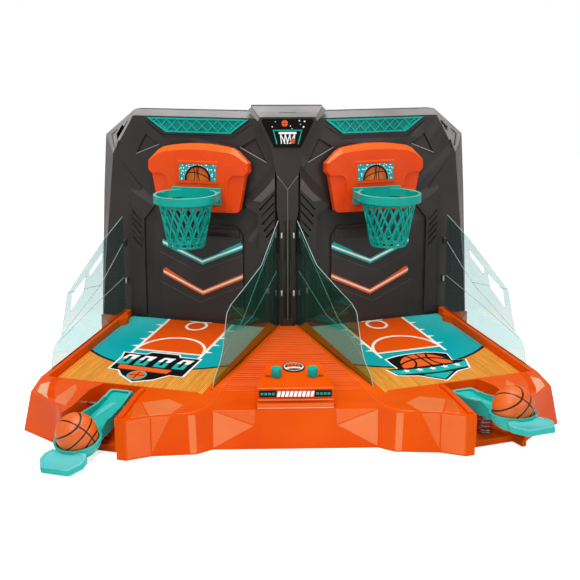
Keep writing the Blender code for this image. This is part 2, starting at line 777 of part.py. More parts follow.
# ---------------------------------------------------------------- courts
def court(side, frame):
    """The printed sheet that covers a lane's deck."""
    corner = 0.0090
    outline = [
        (GAP, GAP * 2),
        (COURT_WIDTH - GAP, GAP * 2),
        (COURT_WIDTH - GAP, COURT_LENGTH),
        *[(corner + x, COURT_LENGTH - corner * 1.2 + y) for x, y in arc((0, 0), corner, 90, 180, 5)],
    ]
    low = [(side * u, -v, court_z(v) - COURT_SHEET) for u, v in outline]
    high = [(side * u, -v, court_z(v)) for u, v in outline]
    sheet = loft("court_" + side_name(side), [low, high])
    return finish(sheet, PRINT, frame)


# ---------------------------------------------------------------- back panels
def panel_front():
    """Outline of a back panel's front face in (u, z), from the inner foot round to the outer one."""
    return [
        (PANEL_INNER_U, LEDGE_Z + GAP),
        (PANEL_INNER_U, PANEL_TOP_Z),
        (0.1280, PANEL_TOP_Z),
        (0.1490, 0.1960),
        (0.1540, 0.1523),
        (0.1600, 0.1000),
        (0.1650, LEDGE_Z + GAP),
    ]


def panel_edge():
    """Outline of the panel behind its bevel."""
    return [
        (PANEL_INNER_U, LEDGE_Z + GAP),
        (PANEL_INNER_U, PANEL_RIDGE_Z),
        (0.1299, PANEL_RIDGE_Z - 0.0002),
        (0.1596, 0.2122),
        (0.1635, 0.1620),
        (0.1672, 0.1000),
        (0.1700, LEDGE_Z + GAP),
    ]


def panel_ring(outline, v, side):
    """A ring of a panel at one depth."""
    return [(side * u, -v, z) for u, z in outline]


def back_panel(side, frame):
    """A hollow back panel, open at its back, with its raised blocks and shield slots."""
    name = side_name(side)
    panel = loft("back_panel_" + name, [
        panel_ring(panel_front(), 0.0, side),
        panel_ring(panel_edge(), -PANEL_BEVEL_DEPTH, side),
        panel_ring(panel_edge(), -PANEL_DEPTH, side),
    ])
    panel.parent = frame
    hollow_front = inset(panel_front()[::-1], WALL)[::-1]
    hollow_edge = inset(panel_edge()[::-1], WALL)[::-1]
    hollow = loft("panel_hollow_" + name, [
        panel_ring(hollow_front, -WALL, side),
        panel_ring(hollow_edge, -PANEL_BEVEL_DEPTH - WALL * 0.5, side),
        panel_ring(hollow_edge, -PANEL_DEPTH - OVERLAP, side),
    ])
    hollow.parent = frame
    boolean(panel, hollow, "DIFFERENCE")
    inner_block = [(-0.0074, 0.1140), (0.0080, 0.1140), (0.0080, 0.1480), (0.0193, 0.1543),
                   (0.0030, 0.1690), (-0.0074, 0.1816)]
    outer_block = [(0.1190, 0.0500), (0.1310, 0.0500), (0.1310, 0.1640), (0.1090, 0.1500),
                   (0.1190, 0.1380)]
    column = [(0.0240, 0.0500), (0.1030, 0.0500), (0.1030, 0.1280), (0.0960, 0.1360),
              (0.0300, 0.1360), (0.0240, 0.1280)]
    mast = [(0.0360, 0.1500), (0.0900, 0.1500), (0.0900, 0.1960), (0.0360, 0.1960)]
    raised = (("inner_block", inner_block, BLOCK_RISE), ("outer_block", outer_block, BLOCK_RISE * 0.5),
              ("column", column, COLUMN_RISE), ("mast", mast, BOARD_BACK_V - GAP))
    for label, outline, rise in raised:
        block = upright(f"{label}_{name}", [outline], -OVERLAP, rise + OVERLAP, side)
        block.parent = frame
        boolean(panel, block, "UNION")
    recess = upright("grille_recess_" + name, [grille_outline(GAP)], -0.0014, 0.0100, side)
    recess.parent = frame
    boolean(panel, recess, "DIFFERENCE")
    marks = [[(0.0023, 0.1933), (0.0264, 0.2050), (0.0117, 0.2135)],
             [(0.1030, 0.2055), (0.1253, 0.1970), (0.1159, 0.2140)],
             [(0.1395, 0.2060), (0.1455, 0.1990), (0.1440, 0.2080)]]
    for i, outline in enumerate(marks):
        mark = upright(f"panel_mark_{name}_{i}", [outline], -0.0012, 0.0060, side)
        mark.parent = frame
        boolean(panel, mark, "DIFFERENCE")
    vents = vent_cutter(name, side)
    vents.parent = frame
    boolean(panel, vents, "DIFFERENCE")
    for z in (0.0800, 0.1150):
        slot = box(f"tab_slot_{name}_{z:.3f}", (0.0016, 0.0060, 0.0064),
                   (side * (SHIELD_OUTER_U + SHIELD_THICKNESS / 2), 0.0, z))
        slot.parent = frame
        boolean(panel, slot, "DIFFERENCE")
    return finish(panel, CHARCOAL)


def vent_cutter(name, side):
    """The slanted slots in a panel's inner and outer blocks, in one cutter."""
    shape = bmesh.new()
    rows = ((-0.0030, 0.1610, BLOCK_RISE, 1.0), (0.1270, 0.1420, BLOCK_RISE * 0.5, -1.0))
    for u, z, rise, lean in rows:
        for i in range(VENT_COUNT):
            made = bmesh.ops.create_cube(shape, size=1.0)["verts"]
            bmesh.ops.scale(shape, verts=made, vec=(VENT_SIZE[0], 2 * VENT_DEPTH, VENT_SIZE[1]))
            turn = Matrix.Rotation(side * lean * radians(45.0), 3, "Y")
            bmesh.ops.rotate(shape, verts=made, cent=(0.0, 0.0, 0.0), matrix=turn)
            place = (side * u, -rise, z - i * VENT_PITCH)
            bmesh.ops.translate(shape, verts=made, vec=place)
    return object_from_bmesh("vents_" + name, shape)


def grille_outline(margin=0.0):
    """Trapezoid of the lattice insert at a panel's top."""
    return [
        (0.0177 - margin * 2, 0.2290 + margin),
        (0.0347 - margin, 0.2165 - margin),
        (0.0961 + margin, 0.2165 - margin),
        (0.1141 + margin * 2, 0.2290 + margin),
    ]


def grille(side, frame):
    """The lattice insert at a panel's top."""
    insert = upright("panel_grille_" + side_name(side), [grille_outline()], -0.0011, 0.0018, side)
    return finish(insert, TEAL, frame)


def rear_cover(side, frame):
    """The plate that closes a panel's back."""
    name = side_name(side)
    ring = panel_edge()
    cover = upright("rear_cover_" + name, [ring], -PANEL_DEPTH - GAP - COVER_THICKNESS,
                    COVER_THICKNESS, side)
    return finish(cover, CHARCOAL, frame)


def chevron(label, look, tip_z, rise, side, frame):
    """A printed chevron on the panel's column."""
    half = 0.0385
    band = 0.0050
    centre = 0.0621
    outline = [
        (centre - half, tip_z + rise), (centre, tip_z), (centre + half, tip_z + rise),
        (centre + half, tip_z + rise + band), (centre, tip_z + band),
        (centre - half, tip_z + rise + band),
    ]
    strip = upright(f"chevron_{label}_{side_name(side)}", [outline], COLUMN_RISE + GAP, SKIN, side)
    return finish(strip, look, frame)


# ---------------------------------------------------------------- spine
def spine_ring(front_y, half, z):
    """A level section of the spine: a pointed front, a waist between the panels, a narrow heel."""
    waist_y = LANE_ORIGIN[1] - 0.0032
    heel_y = LANE_ORIGIN[1] + 0.0095
    return [
        (-half, front_y, z), (half, front_y, z), (SPINE_WAIST_HALF, waist_y, z),
        (SPINE_HEEL_HALF, heel_y, z), (-SPINE_HEEL_HALF, heel_y, z), (-SPINE_WAIST_HALF, waist_y, z),
    ]


def spine():
    """The keyed spine that joins the two panels and carries the picture plate."""
    behind_y = PICTURE_Y + PICTURE_THICKNESS - 0.0015
    key = loft("centre_spine", [
        spine_ring(SPINE_FRONT_Y, SPINE_TIP_HALF, LEDGE_Z + GAP),
        spine_ring(SPINE_FRONT_Y, SPINE_TIP_HALF, 0.1640),
        spine_ring(behind_y, SPINE_WAIST_HALF - 0.0010, 0.1780),
        spine_ring(behind_y, SPINE_WAIST_HALF - 0.0010, PANEL_RIDGE_Z + 0.0010),
    ])
    face = [(0.0, 0.1692), (0.0094, 0.1822), (0.0142, 0.2063), (0.0245, 0.2280), (0.0235, 0.2320)]
    outline = face + [(-x, z) for x, z in reversed(face[1:])]
    plate = outline_solid("picture_frame", [outline], PICTURE_THICKNESS)
    plate.rotation_euler = (pi / 2, 0.0, 0.0)
    plate.location = (0.0, PICTURE_Y + PICTURE_THICKNESS, 0.0)
    boolean(key, plate, "UNION")
    lip_z = PANEL_RIDGE_Z + GAP
    back_y = PICTURE_Y + 0.0280
    cap = loft("spine_cap", [
        [(-0.0232, PICTURE_Y + 0.0004, 0.2312), (0.0232, PICTURE_Y + 0.0004, 0.2312),
         (0.0232, PICTURE_Y + 0.0030, 0.2312), (-0.0232, PICTURE_Y + 0.0030, 0.2312)],
        [(-0.0265, PICTURE_Y + 0.0022, lip_z), (0.0265, PICTURE_Y + 0.0022, lip_z),
         (0.0265, PICTURE_Y + 0.0042, lip_z), (-0.0265, PICTURE_Y + 0.0042, lip_z)],
        [(-0.0268, PICTURE_Y + 0.0024, lip_z + 0.0004), (0.0268, PICTURE_Y + 0.0024, lip_z + 0.0004),
         (0.0310, back_y, lip_z + 0.0004), (-0.0310, back_y, lip_z + 0.0004)],
        [(-0.0300, PICTURE_Y + 0.0105, CAP_TOP_Z), (0.0300, PICTURE_Y + 0.0105, CAP_TOP_Z),
         (0.0305, back_y, CAP_TOP_Z), (-0.0305, back_y, CAP_TOP_Z)],
    ])
    boolean(key, cap, "UNION")
    return finish(key, CHARCOAL)


def picture_plate():
    """The printed picture on the spine, left plain."""
    face = [(0.0123 - 0.0010, 0.2063), (0.0220, 0.2285), (0.0210, 0.2305)]
    outline = face + [(-x, z) for x, z in reversed(face)]
    plate = outline_solid("picture_plate", [outline], SKIN)
    plate.rotation_euler = (pi / 2, 0.0, 0.0)
    plate.location = (0.0, PICTURE_Y - GAP, 0.0)
    return finish(plate, DARK)


# ---------------------------------------------------------------- backboard and hoop
def board_outline():
    """Outline of a backboard in (u, z): crowned top, shoulders, and two straight legs."""
    half = [
        (0.0000, 0.2082), (0.0170, 0.2073), (0.0325, 0.2050), (0.0375, 0.2020), (0.0475, 0.1925),
        (0.0478, 0.1850), (0.0442, 0.1808), (0.0385, 0.1512), (0.0360, 0.1492), (0.0180, 0.1485),
    ]
    right = [(BOARD_CENTRE_U + x, z) for x, z in half]
    left = [(BOARD_CENTRE_U - x, z) for x, z in reversed(half[1:])]
    return right + left


def backboard(side, frame):
    """A backboard, hooked on the panel's mast."""
    board = upright("backboard_" + side_name(side), [board_outline()], BOARD_BACK_V,
                    BOARD_THICKNESS, side)
    bevel(board, 0.0018, 1, 50.0)
    return finish(board, ORANGE, frame)


def board_sticker(side, frame):
    """The printed window on a backboard."""
    width, height = STICKER_SIZE
    low_u = BOARD_CENTRE_U + STICKER_OFFSET - width / 2
    low_z = STICKER_Z - height / 2
    outline = [(low_u, low_z), (low_u + width, low_z), (low_u + width, low_z + height),
               (low_u, low_z + height)]
    front = BOARD_BACK_V + BOARD_THICKNESS + GAP
    sticker = upright("backboard_sticker_" + side_name(side), [outline], front, SKIN, side)
    return finish(sticker, TEAL, frame)


def hoop_rim(side, frame):
    """The rim with its bracket plate and neck, in one moulding."""
    name = side_name(side)
    low = RIM_TOP_Z - RIM_HEIGHT
    inner = RIM_OUTER - RIM_WALL
    rim = turned("hoop_rim_" + name, [
        (RIM_OUTER, RIM_TOP_Z), (RIM_OUTER, low), (inner, low), (inner, RIM_TOP_Z),
        (RIM_OUTER, RIM_TOP_Z),
    ], 40)
    rim.location = (side * RIM_CENTRE_U, -RIM_CENTRE_V, 0.0)
    rim.parent = frame
    front = BOARD_BACK_V + BOARD_THICKNESS + GAP
    half = BRACKET_WIDTH / 2
    behind = lane_block("rim_trim_" + name, [
        (RIM_CENTRE_U - half * 2, -front), (RIM_CENTRE_U + half * 2, -front),
        (RIM_CENTRE_U + half * 2, front + OVERLAP), (RIM_CENTRE_U - half * 2, front + OVERLAP),
    ], low - RIM_HEIGHT, lambda u, v: RIM_TOP_Z + RIM_HEIGHT, side)
    behind.parent = frame
    boolean(rim, behind, "DIFFERENCE")
    plate = upright("rim_bracket_" + name, [[
        (RIM_CENTRE_U - half, BRACKET_Z[0]), (RIM_CENTRE_U + half, BRACKET_Z[0]),
        (RIM_CENTRE_U + half, BRACKET_Z[1]), (RIM_CENTRE_U - half, BRACKET_Z[1]),
    ]], front, BRACKET_THICKNESS, side)
    plate.parent = frame
    boolean(rim, plate, "UNION")
    for end in (-1, 1):
        back_u = RIM_CENTRE_U + end * (half - NECK_WIDTH / 2)
        ring_u = RIM_CENTRE_U + end * (RIM_OUTER - NECK_WIDTH / 2)
        neck = lane_block(f"rim_neck_{name}_{'out' if end > 0 else 'in'}", [
            (back_u - NECK_WIDTH / 2, front + OVERLAP), (back_u + NECK_WIDTH / 2, front + OVERLAP),
            (ring_u + NECK_WIDTH / 2 - end * GAP, RIM_CENTRE_V), (ring_u - NECK_WIDTH / 2, RIM_CENTRE_V),
        ], low, lambda u, v: RIM_TOP_Z - OVERLAP, side)
        neck.parent = frame
        boolean(rim, neck, "UNION")
    return finish(rim, TEAL)


def hoop_net(side, frame):
    """The stiff net below the rim, as its envelope: open at the top and at the bottom."""
    top = RIM_TOP_Z - RIM_HEIGHT - GAP
    net = turned("hoop_net_" + side_name(side), [
        (NET_TOP_RADIUS + NET_COLLAR, top), (NET_TOP_RADIUS, top - 0.0030),
        (NET_BOTTOM_RADIUS, NET_BOTTOM_Z),
        (NET_BOTTOM_RADIUS - NET_WALL, NET_BOTTOM_Z), (NET_TOP_RADIUS - NET_WALL, top - 0.0030),
        (NET_TOP_RADIUS - NET_WALL, top), (NET_TOP_RADIUS + NET_COLLAR, top),
    ], 24)
    net.location = (side * RIM_CENTRE_U, -RIM_CENTRE_V, 0.0)
    front = BOARD_BACK_V + BOARD_THICKNESS + BRACKET_THICKNESS + 2 * GAP
    low_u = RIM_CENTRE_U - NET_TOP_RADIUS
    high_u = RIM_CENTRE_U + NET_TOP_RADIUS
    notch = lane_block("net_notch_" + side_name(side),
                       [(low_u, 0.0), (high_u, 0.0), (high_u, front), (low_u, front)],
                       BRACKET_Z[0] - GAP, lambda u, v: RIM_TOP_Z, side)
    notch.parent = frame
    boolean(net, notch, "DIFFERENCE")
    return finish(net, TEAL, frame)


# ---------------------------------------------------------------- shields
def shield_outer(side, frame):
    """The clear sheet along a lane's outer rail, with two windows."""
    rise = OUTER_RAIL_RISE - GROOVE_DEPTH + GAP
    front = 0.1395
    outline = [
        (SHIELD_BACK_V, court_z(SHIELD_BACK_V) + rise),
        (front, court_z(front) + rise),
        (0.1350, 0.0470), (0.1300, 0.0525), (0.1215, 0.0560), (0.1078, 0.0905), (0.0420, 0.1250),
        (SHIELD_BACK_V, 0.1400), (SHIELD_BACK_V, 0.1180), (0.0006, 0.1180), (0.0006, 0.1120),
        (SHIELD_BACK_V, 0.1120), (SHIELD_BACK_V, 0.0830), (0.0006, 0.0830), (0.0006, 0.0770),
        (SHIELD_BACK_V, 0.0770),
    ]
    upper_window = [(0.0440, 0.1145), (0.0470, 0.1080), (0.0700, 0.0965), (0.0690, 0.1020)]
    lower_window = [(0.0755, 0.0985), (0.0805, 0.0870), (0.1045, 0.0735), (0.1005, 0.0880)]
    sheet = lengthwise("shield_outer_" + side_name(side), [outline, upper_window, lower_window],
                       SHIELD_OUTER_U, SHIELD_THICKNESS, side)
    return finish(sheet, CLEAR, frame)


def shield_inner(side, frame):
    """The clear sheet along a lane's inner rail."""
    rise = INNER_RAIL_RISE - GROOVE_DEPTH + GAP
    front = 0.1420
    outline = [
        (SHIELD_BACK_V, court_z(SHIELD_BACK_V) + rise),
        (front, court_z(front) + rise),
        (0.1370, 0.0400), (0.1266, 0.0495), (0.1215, 0.0590), (0.1130, 0.0860), (0.1050, 0.0912),
        (0.0770, 0.1000), (0.0430, 0.1115), (SHIELD_BACK_V, 0.1440),
    ]
    sheet = lengthwise("shield_inner_" + side_name(side), [outline], SHIELD_INNER_U,
                       SHIELD_THICKNESS, side)
    sheet.rotation_euler.z += side * SHIELD_INNER_TURN
    return finish(sheet, CLEAR, frame)


# ---------------------------------------------------------------- launchers
def launcher_frame(side, frame, pressed):
    """The empty on a lever's axis; the lever hangs from it, pressed or released."""
    pivot = bpy.data.objects.new("launcher_pivot_" + side_name(side), None)
    pivot.parent = frame
    pivot.location = (side * LAUNCH_U, -PIVOT_V, PIVOT_Z)
    pivot.rotation_euler = (PRESS_ANGLE if pressed else 0.0, 0.0, 0.0)
    PARTS.objects.link(pivot)
    return pivot


def launcher_lever(side, pivot):
    """The sprung lever: hub, trough with side ears, ball cup and press tab."""
    name = side_name(side)
    cup_outer = BALL_RADIUS + CUP_CLEARANCE + CUP_WALL
    cup_inner = BALL_RADIUS + CUP_CLEARANCE
    cup_y = -(CUP_V - PIVOT_V)
    cup_z = BALL_Z - PIVOT_Z
    rim_z = -CUP_RIM_DROP
    profile = []
    for i in range(9):
        angle = pi / 2 * i / 8
        profile.append((cup_outer * cos(angle), rim_z - CUP_DEPTH * sin(angle)))
    for i in range(9):
        angle = pi / 2 * (8 - i) / 8
        profile.append((cup_inner * cos(angle), rim_z - (CUP_DEPTH - CUP_WALL) * sin(angle)))
    profile.append(profile[0])
    cup = turned("launcher_lever_" + name, profile, 28)
    cup.location = (0.0, cup_y, cup_z)
    cup.parent = pivot
    reach = CUP_V - PIVOT_V
    hood = 0.0130
    trough = loft("lever_trough_" + name, [
        [(-half, y, low), (half, y, low), (half, y, low + 0.0022), (-half, y, low + 0.0022)]
        for y, half, low in ((hood, 0.0098, 0.0035), (0.0, 0.0098, 0.0015), (-0.0300, 0.0125, 0.0015),
                             (-reach + cup_outer - 0.0060, 0.0120, 0.0015))
    ])
    trough.parent = pivot
    boolean(cup, trough, "UNION")
    stations = [(hood - GAP, 0.0076, 0.0030, 0.0068), (-0.0100, 0.0090, 0.0027, 0.0075),
                (-0.0300, 0.0115, 0.0025, 0.0115), (-0.0370, 0.0120, 0.0025, 0.0135),
                (-reach + cup_outer - 0.0040, 0.0103, 0.0025, 0.0095)]
    for end in (-1, 1):
        wall = 0.0018
        rib = loft(f"lever_wall_{name}_{'out' if end > 0 else 'in'}", [
            [(end * x, y, low), (end * (x + wall), y, low), (end * (x + wall), y, high), (end * x, y, high)]
            for y, x, low, high in stations
        ])
        rib.parent = pivot
        boolean(cup, rib, "UNION")
    hub = cylinder("lever_hub_" + name, HUB_RADIUS, 2 * HUB_HALF, (0.0, 0.0, 0.0), (0.0, pi / 2, 0.0), 24)
    hub.parent = pivot
    boolean(cup, hub, "UNION")
    half = TAB_WIDTH / 2
    tab_back = -(reach + cup_outer - 0.0040)
    tab_outline = [
        (-half + 0.0030, tab_back), (half - 0.0030, tab_back), (half, tab_back - 0.0060),
        (half, tab_back - TAB_LENGTH * 0.55), (half - 0.0060, tab_back - TAB_LENGTH),
        (-half + 0.0060, tab_back - TAB_LENGTH), (-half, tab_back - TAB_LENGTH * 0.55),
        (-half, tab_back - 0.0060),
    ]
    tab_top = TAB_TOP_Z - PIVOT_Z
    tab = loft("lever_tab_" + name, [
        [(x, y, tab_top - TAB_THICKNESS) for x, y in tab_outline],
        [(x, y, tab_top) for x, y in tab_outline],
    ])
    tab.parent = pivot
    boolean(cup, tab, "UNION")
    ball_room = bmesh.new()
    bmesh.ops.create_uvsphere(ball_room, u_segments=28, v_segments=18,
                              radius=BALL_RADIUS + CUP_CLEARANCE)
    room = object_from_bmesh("ball_room_" + name, ball_room)
    room.location = (0.0, cup_y, cup_z)
    room.parent = pivot
    boolean(cup, room, "DIFFERENCE")
    bore = cylinder("lever_bore_" + name, PIN_RADIUS + PIN_CLEARANCE, 4 * HUB_HALF, (0.0, 0.0, 0.0),
                    (0.0, pi / 2, 0.0), 24)
    bore.parent = pivot
    boolean(cup, bore, "DIFFERENCE")
    return finish(cup, TEAL)


def ball(side, pivot):
    """The ball that lies in a launcher's cup."""
    shape = bmesh.new()
    bmesh.ops.create_uvsphere(shape, u_segments=20, v_segments=14, radius=BALL_RADIUS)
    thing = object_from_bmesh("ball_" + side_name(side), shape)
    thing.location = (0.0, -(CUP_V - PIVOT_V), BALL_Z - PIVOT_Z)
    return finish(thing, ORANGE, pivot, smooth=True)


def pivot_pin(side, frame):
    """The pin through the slot's walls and the lever's hub."""
    pin = pin_body("launcher_pin_" + side_name(side), PIN_RADIUS, 0.0, side)
    return finish(pin, STEEL, frame, smooth=True)


def launcher_spring(side, frame, pressed):
    """The coil spring between a slot's floor and its lever."""
    arm = SPRING_V - PIVOT_V
    seat = PIVOT_Z + 0.0020
    if pressed:
        seat -= arm * sin(PRESS_ANGLE) + 0.0012
    low = SLOT_FLOOR + GAP + SPRING_WIRE
    high = seat - GAP - SPRING_WIRE - 0.0016
    curve = bpy.data.curves.new("launcher_spring_" + side_name(side), "CURVE")
    curve.dimensions = "3D"
    curve.bevel_depth = SPRING_WIRE
    curve.bevel_resolution = 1
    curve.use_fill_caps = True
    spline = curve.splines.new("POLY")
    count = SPRING_TURNS * SPRING_POINTS
    spline.points.add(count)
    for i in range(count + 1):
        angle = 2 * pi * i / SPRING_POINTS
        z = low + (high - low) * i / count
        spline.points[i].co = (SPRING_RADIUS * cos(angle), SPRING_RADIUS * sin(angle), z, 1.0)
    coil = bpy.data.objects.new(curve.name, curve)
    coil.data.materials.append(STEEL)
    coil.parent = frame
    coil.location = (side * LAUNCH_U, -SPRING_V, 0.0)
    PARTS.objects.link(coil)
    return coil


# ---------------------------------------------------------------- console
def console_point(along, x, rise=0.0):
    """A point on the tilted top: distance from its front edge, x, and height over the face."""
    y = CONSOLE_FRONT_Y + along * cos(CONSOLE_TILT) - rise * sin(CONSOLE_TILT)
    z = CONSOLE_EDGE_Z + along * sin(CONSOLE_TILT) + rise * cos(CONSOLE_TILT)
    return (x, y, z)


def console_ring(margin, z, front, back):
    """A plan ring of the console."""
    return [
        (-CONSOLE_HALF_FRONT + margin, front, z), (CONSOLE_HALF_FRONT - margin, front, z),
        (CONSOLE_HALF_BACK - margin, back, z), (-CONSOLE_HALF_BACK + margin, back, z),
    ]


def console_cover():
    """The console's hollow cover, with holes for the knobs' shafts and number windows."""
    foot = POD_Z - 0.0010 + GAP
    top_length = (CONSOLE_BACK_Y - CONSOLE_FRONT_Y) / cos(CONSOLE_TILT)
    body = loft("console_cover", [
        console_ring(0.0, foot, CONSOLE_FRONT_Y, CONSOLE_BACK_Y),
        [console_point(0.0, -CONSOLE_HALF_FRONT), console_point(0.0, CONSOLE_HALF_FRONT),
         console_point(top_length, CONSOLE_HALF_BACK), console_point(top_length, -CONSOLE_HALF_BACK)],
    ])
    lip = loft("console_lip", [
        [(-CONSOLE_HALF_FRONT, LIP_Y, foot), (CONSOLE_HALF_FRONT, LIP_Y, foot),
         (CONSOLE_HALF_FRONT, CONSOLE_FRONT_Y + 0.0030, foot),
         (-CONSOLE_HALF_FRONT, CONSOLE_FRONT_Y + 0.0030, foot)],
        [(-CONSOLE_HALF_FRONT, CONSOLE_FRONT_Y - 0.0006, LIP_Z),
         (CONSOLE_HALF_FRONT, CONSOLE_FRONT_Y - 0.0006, LIP_Z),
         (CONSOLE_HALF_FRONT, CONSOLE_FRONT_Y + 0.0030, LIP_Z),
         (-CONSOLE_HALF_FRONT, CONSOLE_FRONT_Y + 0.0030, LIP_Z)],
    ])
    boolean(body, lip, "UNION")
    wall = CONSOLE_WALL
    drop = console_point(wall, 0.0, -wall)
    rear = console_point(top_length - wall * 1.5, 0.0, -wall)
    hollow = loft("console_hollow", [
        console_ring(wall, foot - OVERLAP, CONSOLE_FRONT_Y + wall, CONSOLE_BACK_Y - wall),
        [(-CONSOLE_HALF_FRONT + wall, drop[1], drop[2]), (CONSOLE_HALF_FRONT - wall, drop[1], drop[2]),
         (CONSOLE_HALF_BACK - wall, rear[1], rear[2]), (-CONSOLE_HALF_BACK + wall, rear[1], rear[2])],
    ])
    boolean(body, hollow, "DIFFERENCE")
    for side in (1, -1):
        name = side_name(side)
        hole = cylinder("knob_hole_" + name, KNOB_SHAFT + GAP, 0.0100,
                        console_point(KNOB_FROM_EDGE, side * KNOB_X), (CONSOLE_TILT, 0.0, 0.0), 24)
        boolean(body, hole, "DIFFERENCE")
        window = box("number_window_" + name, (WINDOW_SIZE[0], WINDOW_SIZE[1], 0.0100),
                     console_point(KNOB_FROM_EDGE, side * (KNOB_X + WINDOW_OFFSET)))
        window.rotation_euler = (CONSOLE_TILT, 0.0, 0.0)
        boolean(body, window, "DIFFERENCE")
    return finish(body, ORANGE)


def score_knob(side):
    """A score knob with its shaft, turned about the console's normal."""
    shaft_end = -DIAL_DROP - DIAL_THICKNESS - 0.0012
    knob = turned("score_knob_" + side_name(side), [
        (0.0, KNOB_HEIGHT), (KNOB_RADIUS - 0.0007, KNOB_HEIGHT), (KNOB_RADIUS, KNOB_HEIGHT - 0.0007),
        (KNOB_RADIUS, GAP), (KNOB_SHAFT, GAP), (KNOB_SHAFT, shaft_end), (0.0, shaft_end),
    ], 24)
    knob.location = console_point(KNOB_FROM_EDGE, side * KNOB_X)
    knob.rotation_euler = (CONSOLE_TILT, 0.0, 0.0)
    return finish(knob, TEAL, smooth=True)


def score_dial(side):
    """The number dial pressed on a knob's shaft, under the console's top."""
    top = -DIAL_DROP
    low = top - DIAL_THICKNESS
    dial = turned("score_dial_" + side_name(side), [
        (DIAL_RADIUS, top), (DIAL_RADIUS, low), (KNOB_SHAFT + GAP, low), (KNOB_SHAFT + GAP, top),
        (DIAL_RADIUS, top),
    ], 32)
    dial.location = console_point(KNOB_FROM_EDGE, side * KNOB_X)
    dial.rotation_euler = (CONSOLE_TILT, 0.0, 0.0)
    return finish(dial, WHITE, smooth=True)


def console_label(side):
    """A plain label plate on the console's front."""
    width, height = LABEL_SIZE
    low_x = side * LABEL_X - width / 2
    low_z = (LIP_Z + CONSOLE_EDGE_Z) / 2 - height / 2 + 0.0010
    outline = [(low_x, low_z), (low_x + width, low_z), (low_x + width, low_z + height),
               (low_x, low_z + height)]
    plate = outline_solid("console_label_" + side_name(side), [outline], SKIN)
    plate.rotation_euler = (pi / 2, 0.0, 0.0)
    plate.location = (0.0, CONSOLE_FRONT_Y - GAP, 0.0)
    return finish(plate, DARK)


def console_badge():
    """The round badge between the knobs, left plain."""
    middle = 0.0340
    badge = cylinder("console_badge", BADGE_RADIUS, SKIN, console_point(middle, 0.0, GAP + SKIN / 2),
                     (CONSOLE_TILT, 0.0, 0.0), 32)
    return finish(badge, TEAL, smooth=True)


# ---------------------------------------------------------------- assembly
def build():
    """Make every piece."""
    frames = {side: lane_frame(side) for side in (1, -1)}
    base_shell(frames)
    bottom_plate()
    bottom_screws()
    for side, frame in frames.items():
        pressed = side < 0
        court(side, frame)
        back_panel(side, frame)
        grille(side, frame)
        rear_cover(side, frame)
        chevron("upper", TEAL, 0.1010, 0.0150, side, frame)
        chevron("lower", ORANGE, 0.0726, 0.0165, side, frame)
        backboard(side, frame)
        board_sticker(side, frame)
        hoop_rim(side, frame)
        hoop_net(side, frame)
        shield_outer(side, frame)
        shield_inner(side, frame)
        pivot = launcher_frame(side, frame, pressed)
        launcher_lever(side, pivot)
        ball(side, pivot)
        pivot_pin(side, frame)
        launcher_spring(side, frame, pressed)
        score_knob(side)
        score_dial(side)
        console_label(side)
    spine()
    picture_plate()
    console_cover()
    console_badge()
    bpy.context.view_layer.update()


build()
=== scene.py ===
"""Looks of the two-player tabletop basketball hoop machine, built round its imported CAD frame.

Lane shapes are drawn in lane coordinates, in millimetres: u runs outwards along a back panel's
foot, v runs forwards down the court, and z is up.  Everything else is in the machine's frame.
"""

import logging
import math
from collections.abc import Callable, Iterable, Sequence
from dataclasses import dataclass
from enum import Enum

import bmesh
import bpy
from mathutils import Euler, Matrix, Vector

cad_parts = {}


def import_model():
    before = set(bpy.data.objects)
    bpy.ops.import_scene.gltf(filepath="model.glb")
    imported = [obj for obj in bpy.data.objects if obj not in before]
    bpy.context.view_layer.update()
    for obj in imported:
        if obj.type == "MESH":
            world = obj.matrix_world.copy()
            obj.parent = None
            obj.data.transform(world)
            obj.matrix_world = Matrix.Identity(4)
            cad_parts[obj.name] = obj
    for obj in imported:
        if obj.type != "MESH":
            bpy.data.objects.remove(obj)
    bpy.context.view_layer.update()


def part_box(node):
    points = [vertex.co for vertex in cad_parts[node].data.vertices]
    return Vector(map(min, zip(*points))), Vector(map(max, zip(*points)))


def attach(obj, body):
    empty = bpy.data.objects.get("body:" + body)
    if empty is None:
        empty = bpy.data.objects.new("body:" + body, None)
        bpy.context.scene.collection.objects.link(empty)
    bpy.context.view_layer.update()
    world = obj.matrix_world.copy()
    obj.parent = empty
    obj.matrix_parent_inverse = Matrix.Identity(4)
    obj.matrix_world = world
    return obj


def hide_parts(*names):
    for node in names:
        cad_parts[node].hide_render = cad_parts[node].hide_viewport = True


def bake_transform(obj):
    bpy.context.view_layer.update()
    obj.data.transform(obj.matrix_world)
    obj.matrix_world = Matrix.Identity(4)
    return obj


LOG = logging.getLogger("hoop_machine")
MM = 0.001
Pair = tuple[float, float]
Triple = tuple[float, float, float]
Points = Sequence[Pair]
Piece = bpy.types.Object
Tree = bpy.types.NodeTree
Node = bpy.types.Node
Socket = bpy.types.NodeSocket


# ---- places
class Side(Enum):
    """One of the two lanes; the value mirrors x."""

    RIGHT = 1
    LEFT = -1

    @property
    def label(self) -> str:
        """Ending of the names on this side."""
        return "right" if self is Side.RIGHT else "left"


class Across(Enum):
    """The lane axis along which a plate has its thickness."""

    U = 0
    V = 1
    Z = 2

    def point(self, first: float, second: float, depth: float) -> Vector:
        """A point in lane coordinates from a flat outline's two numbers and a depth."""
        place = {Across.U: (depth, first, second), Across.V: (first, depth, second),
                 Across.Z: (first, second, depth)}[self]
        return Vector(place) * MM

    def along(self, length: float) -> Vector:
        """A step of a length along this axis."""
        return self.point(0.0, 0.0, length)


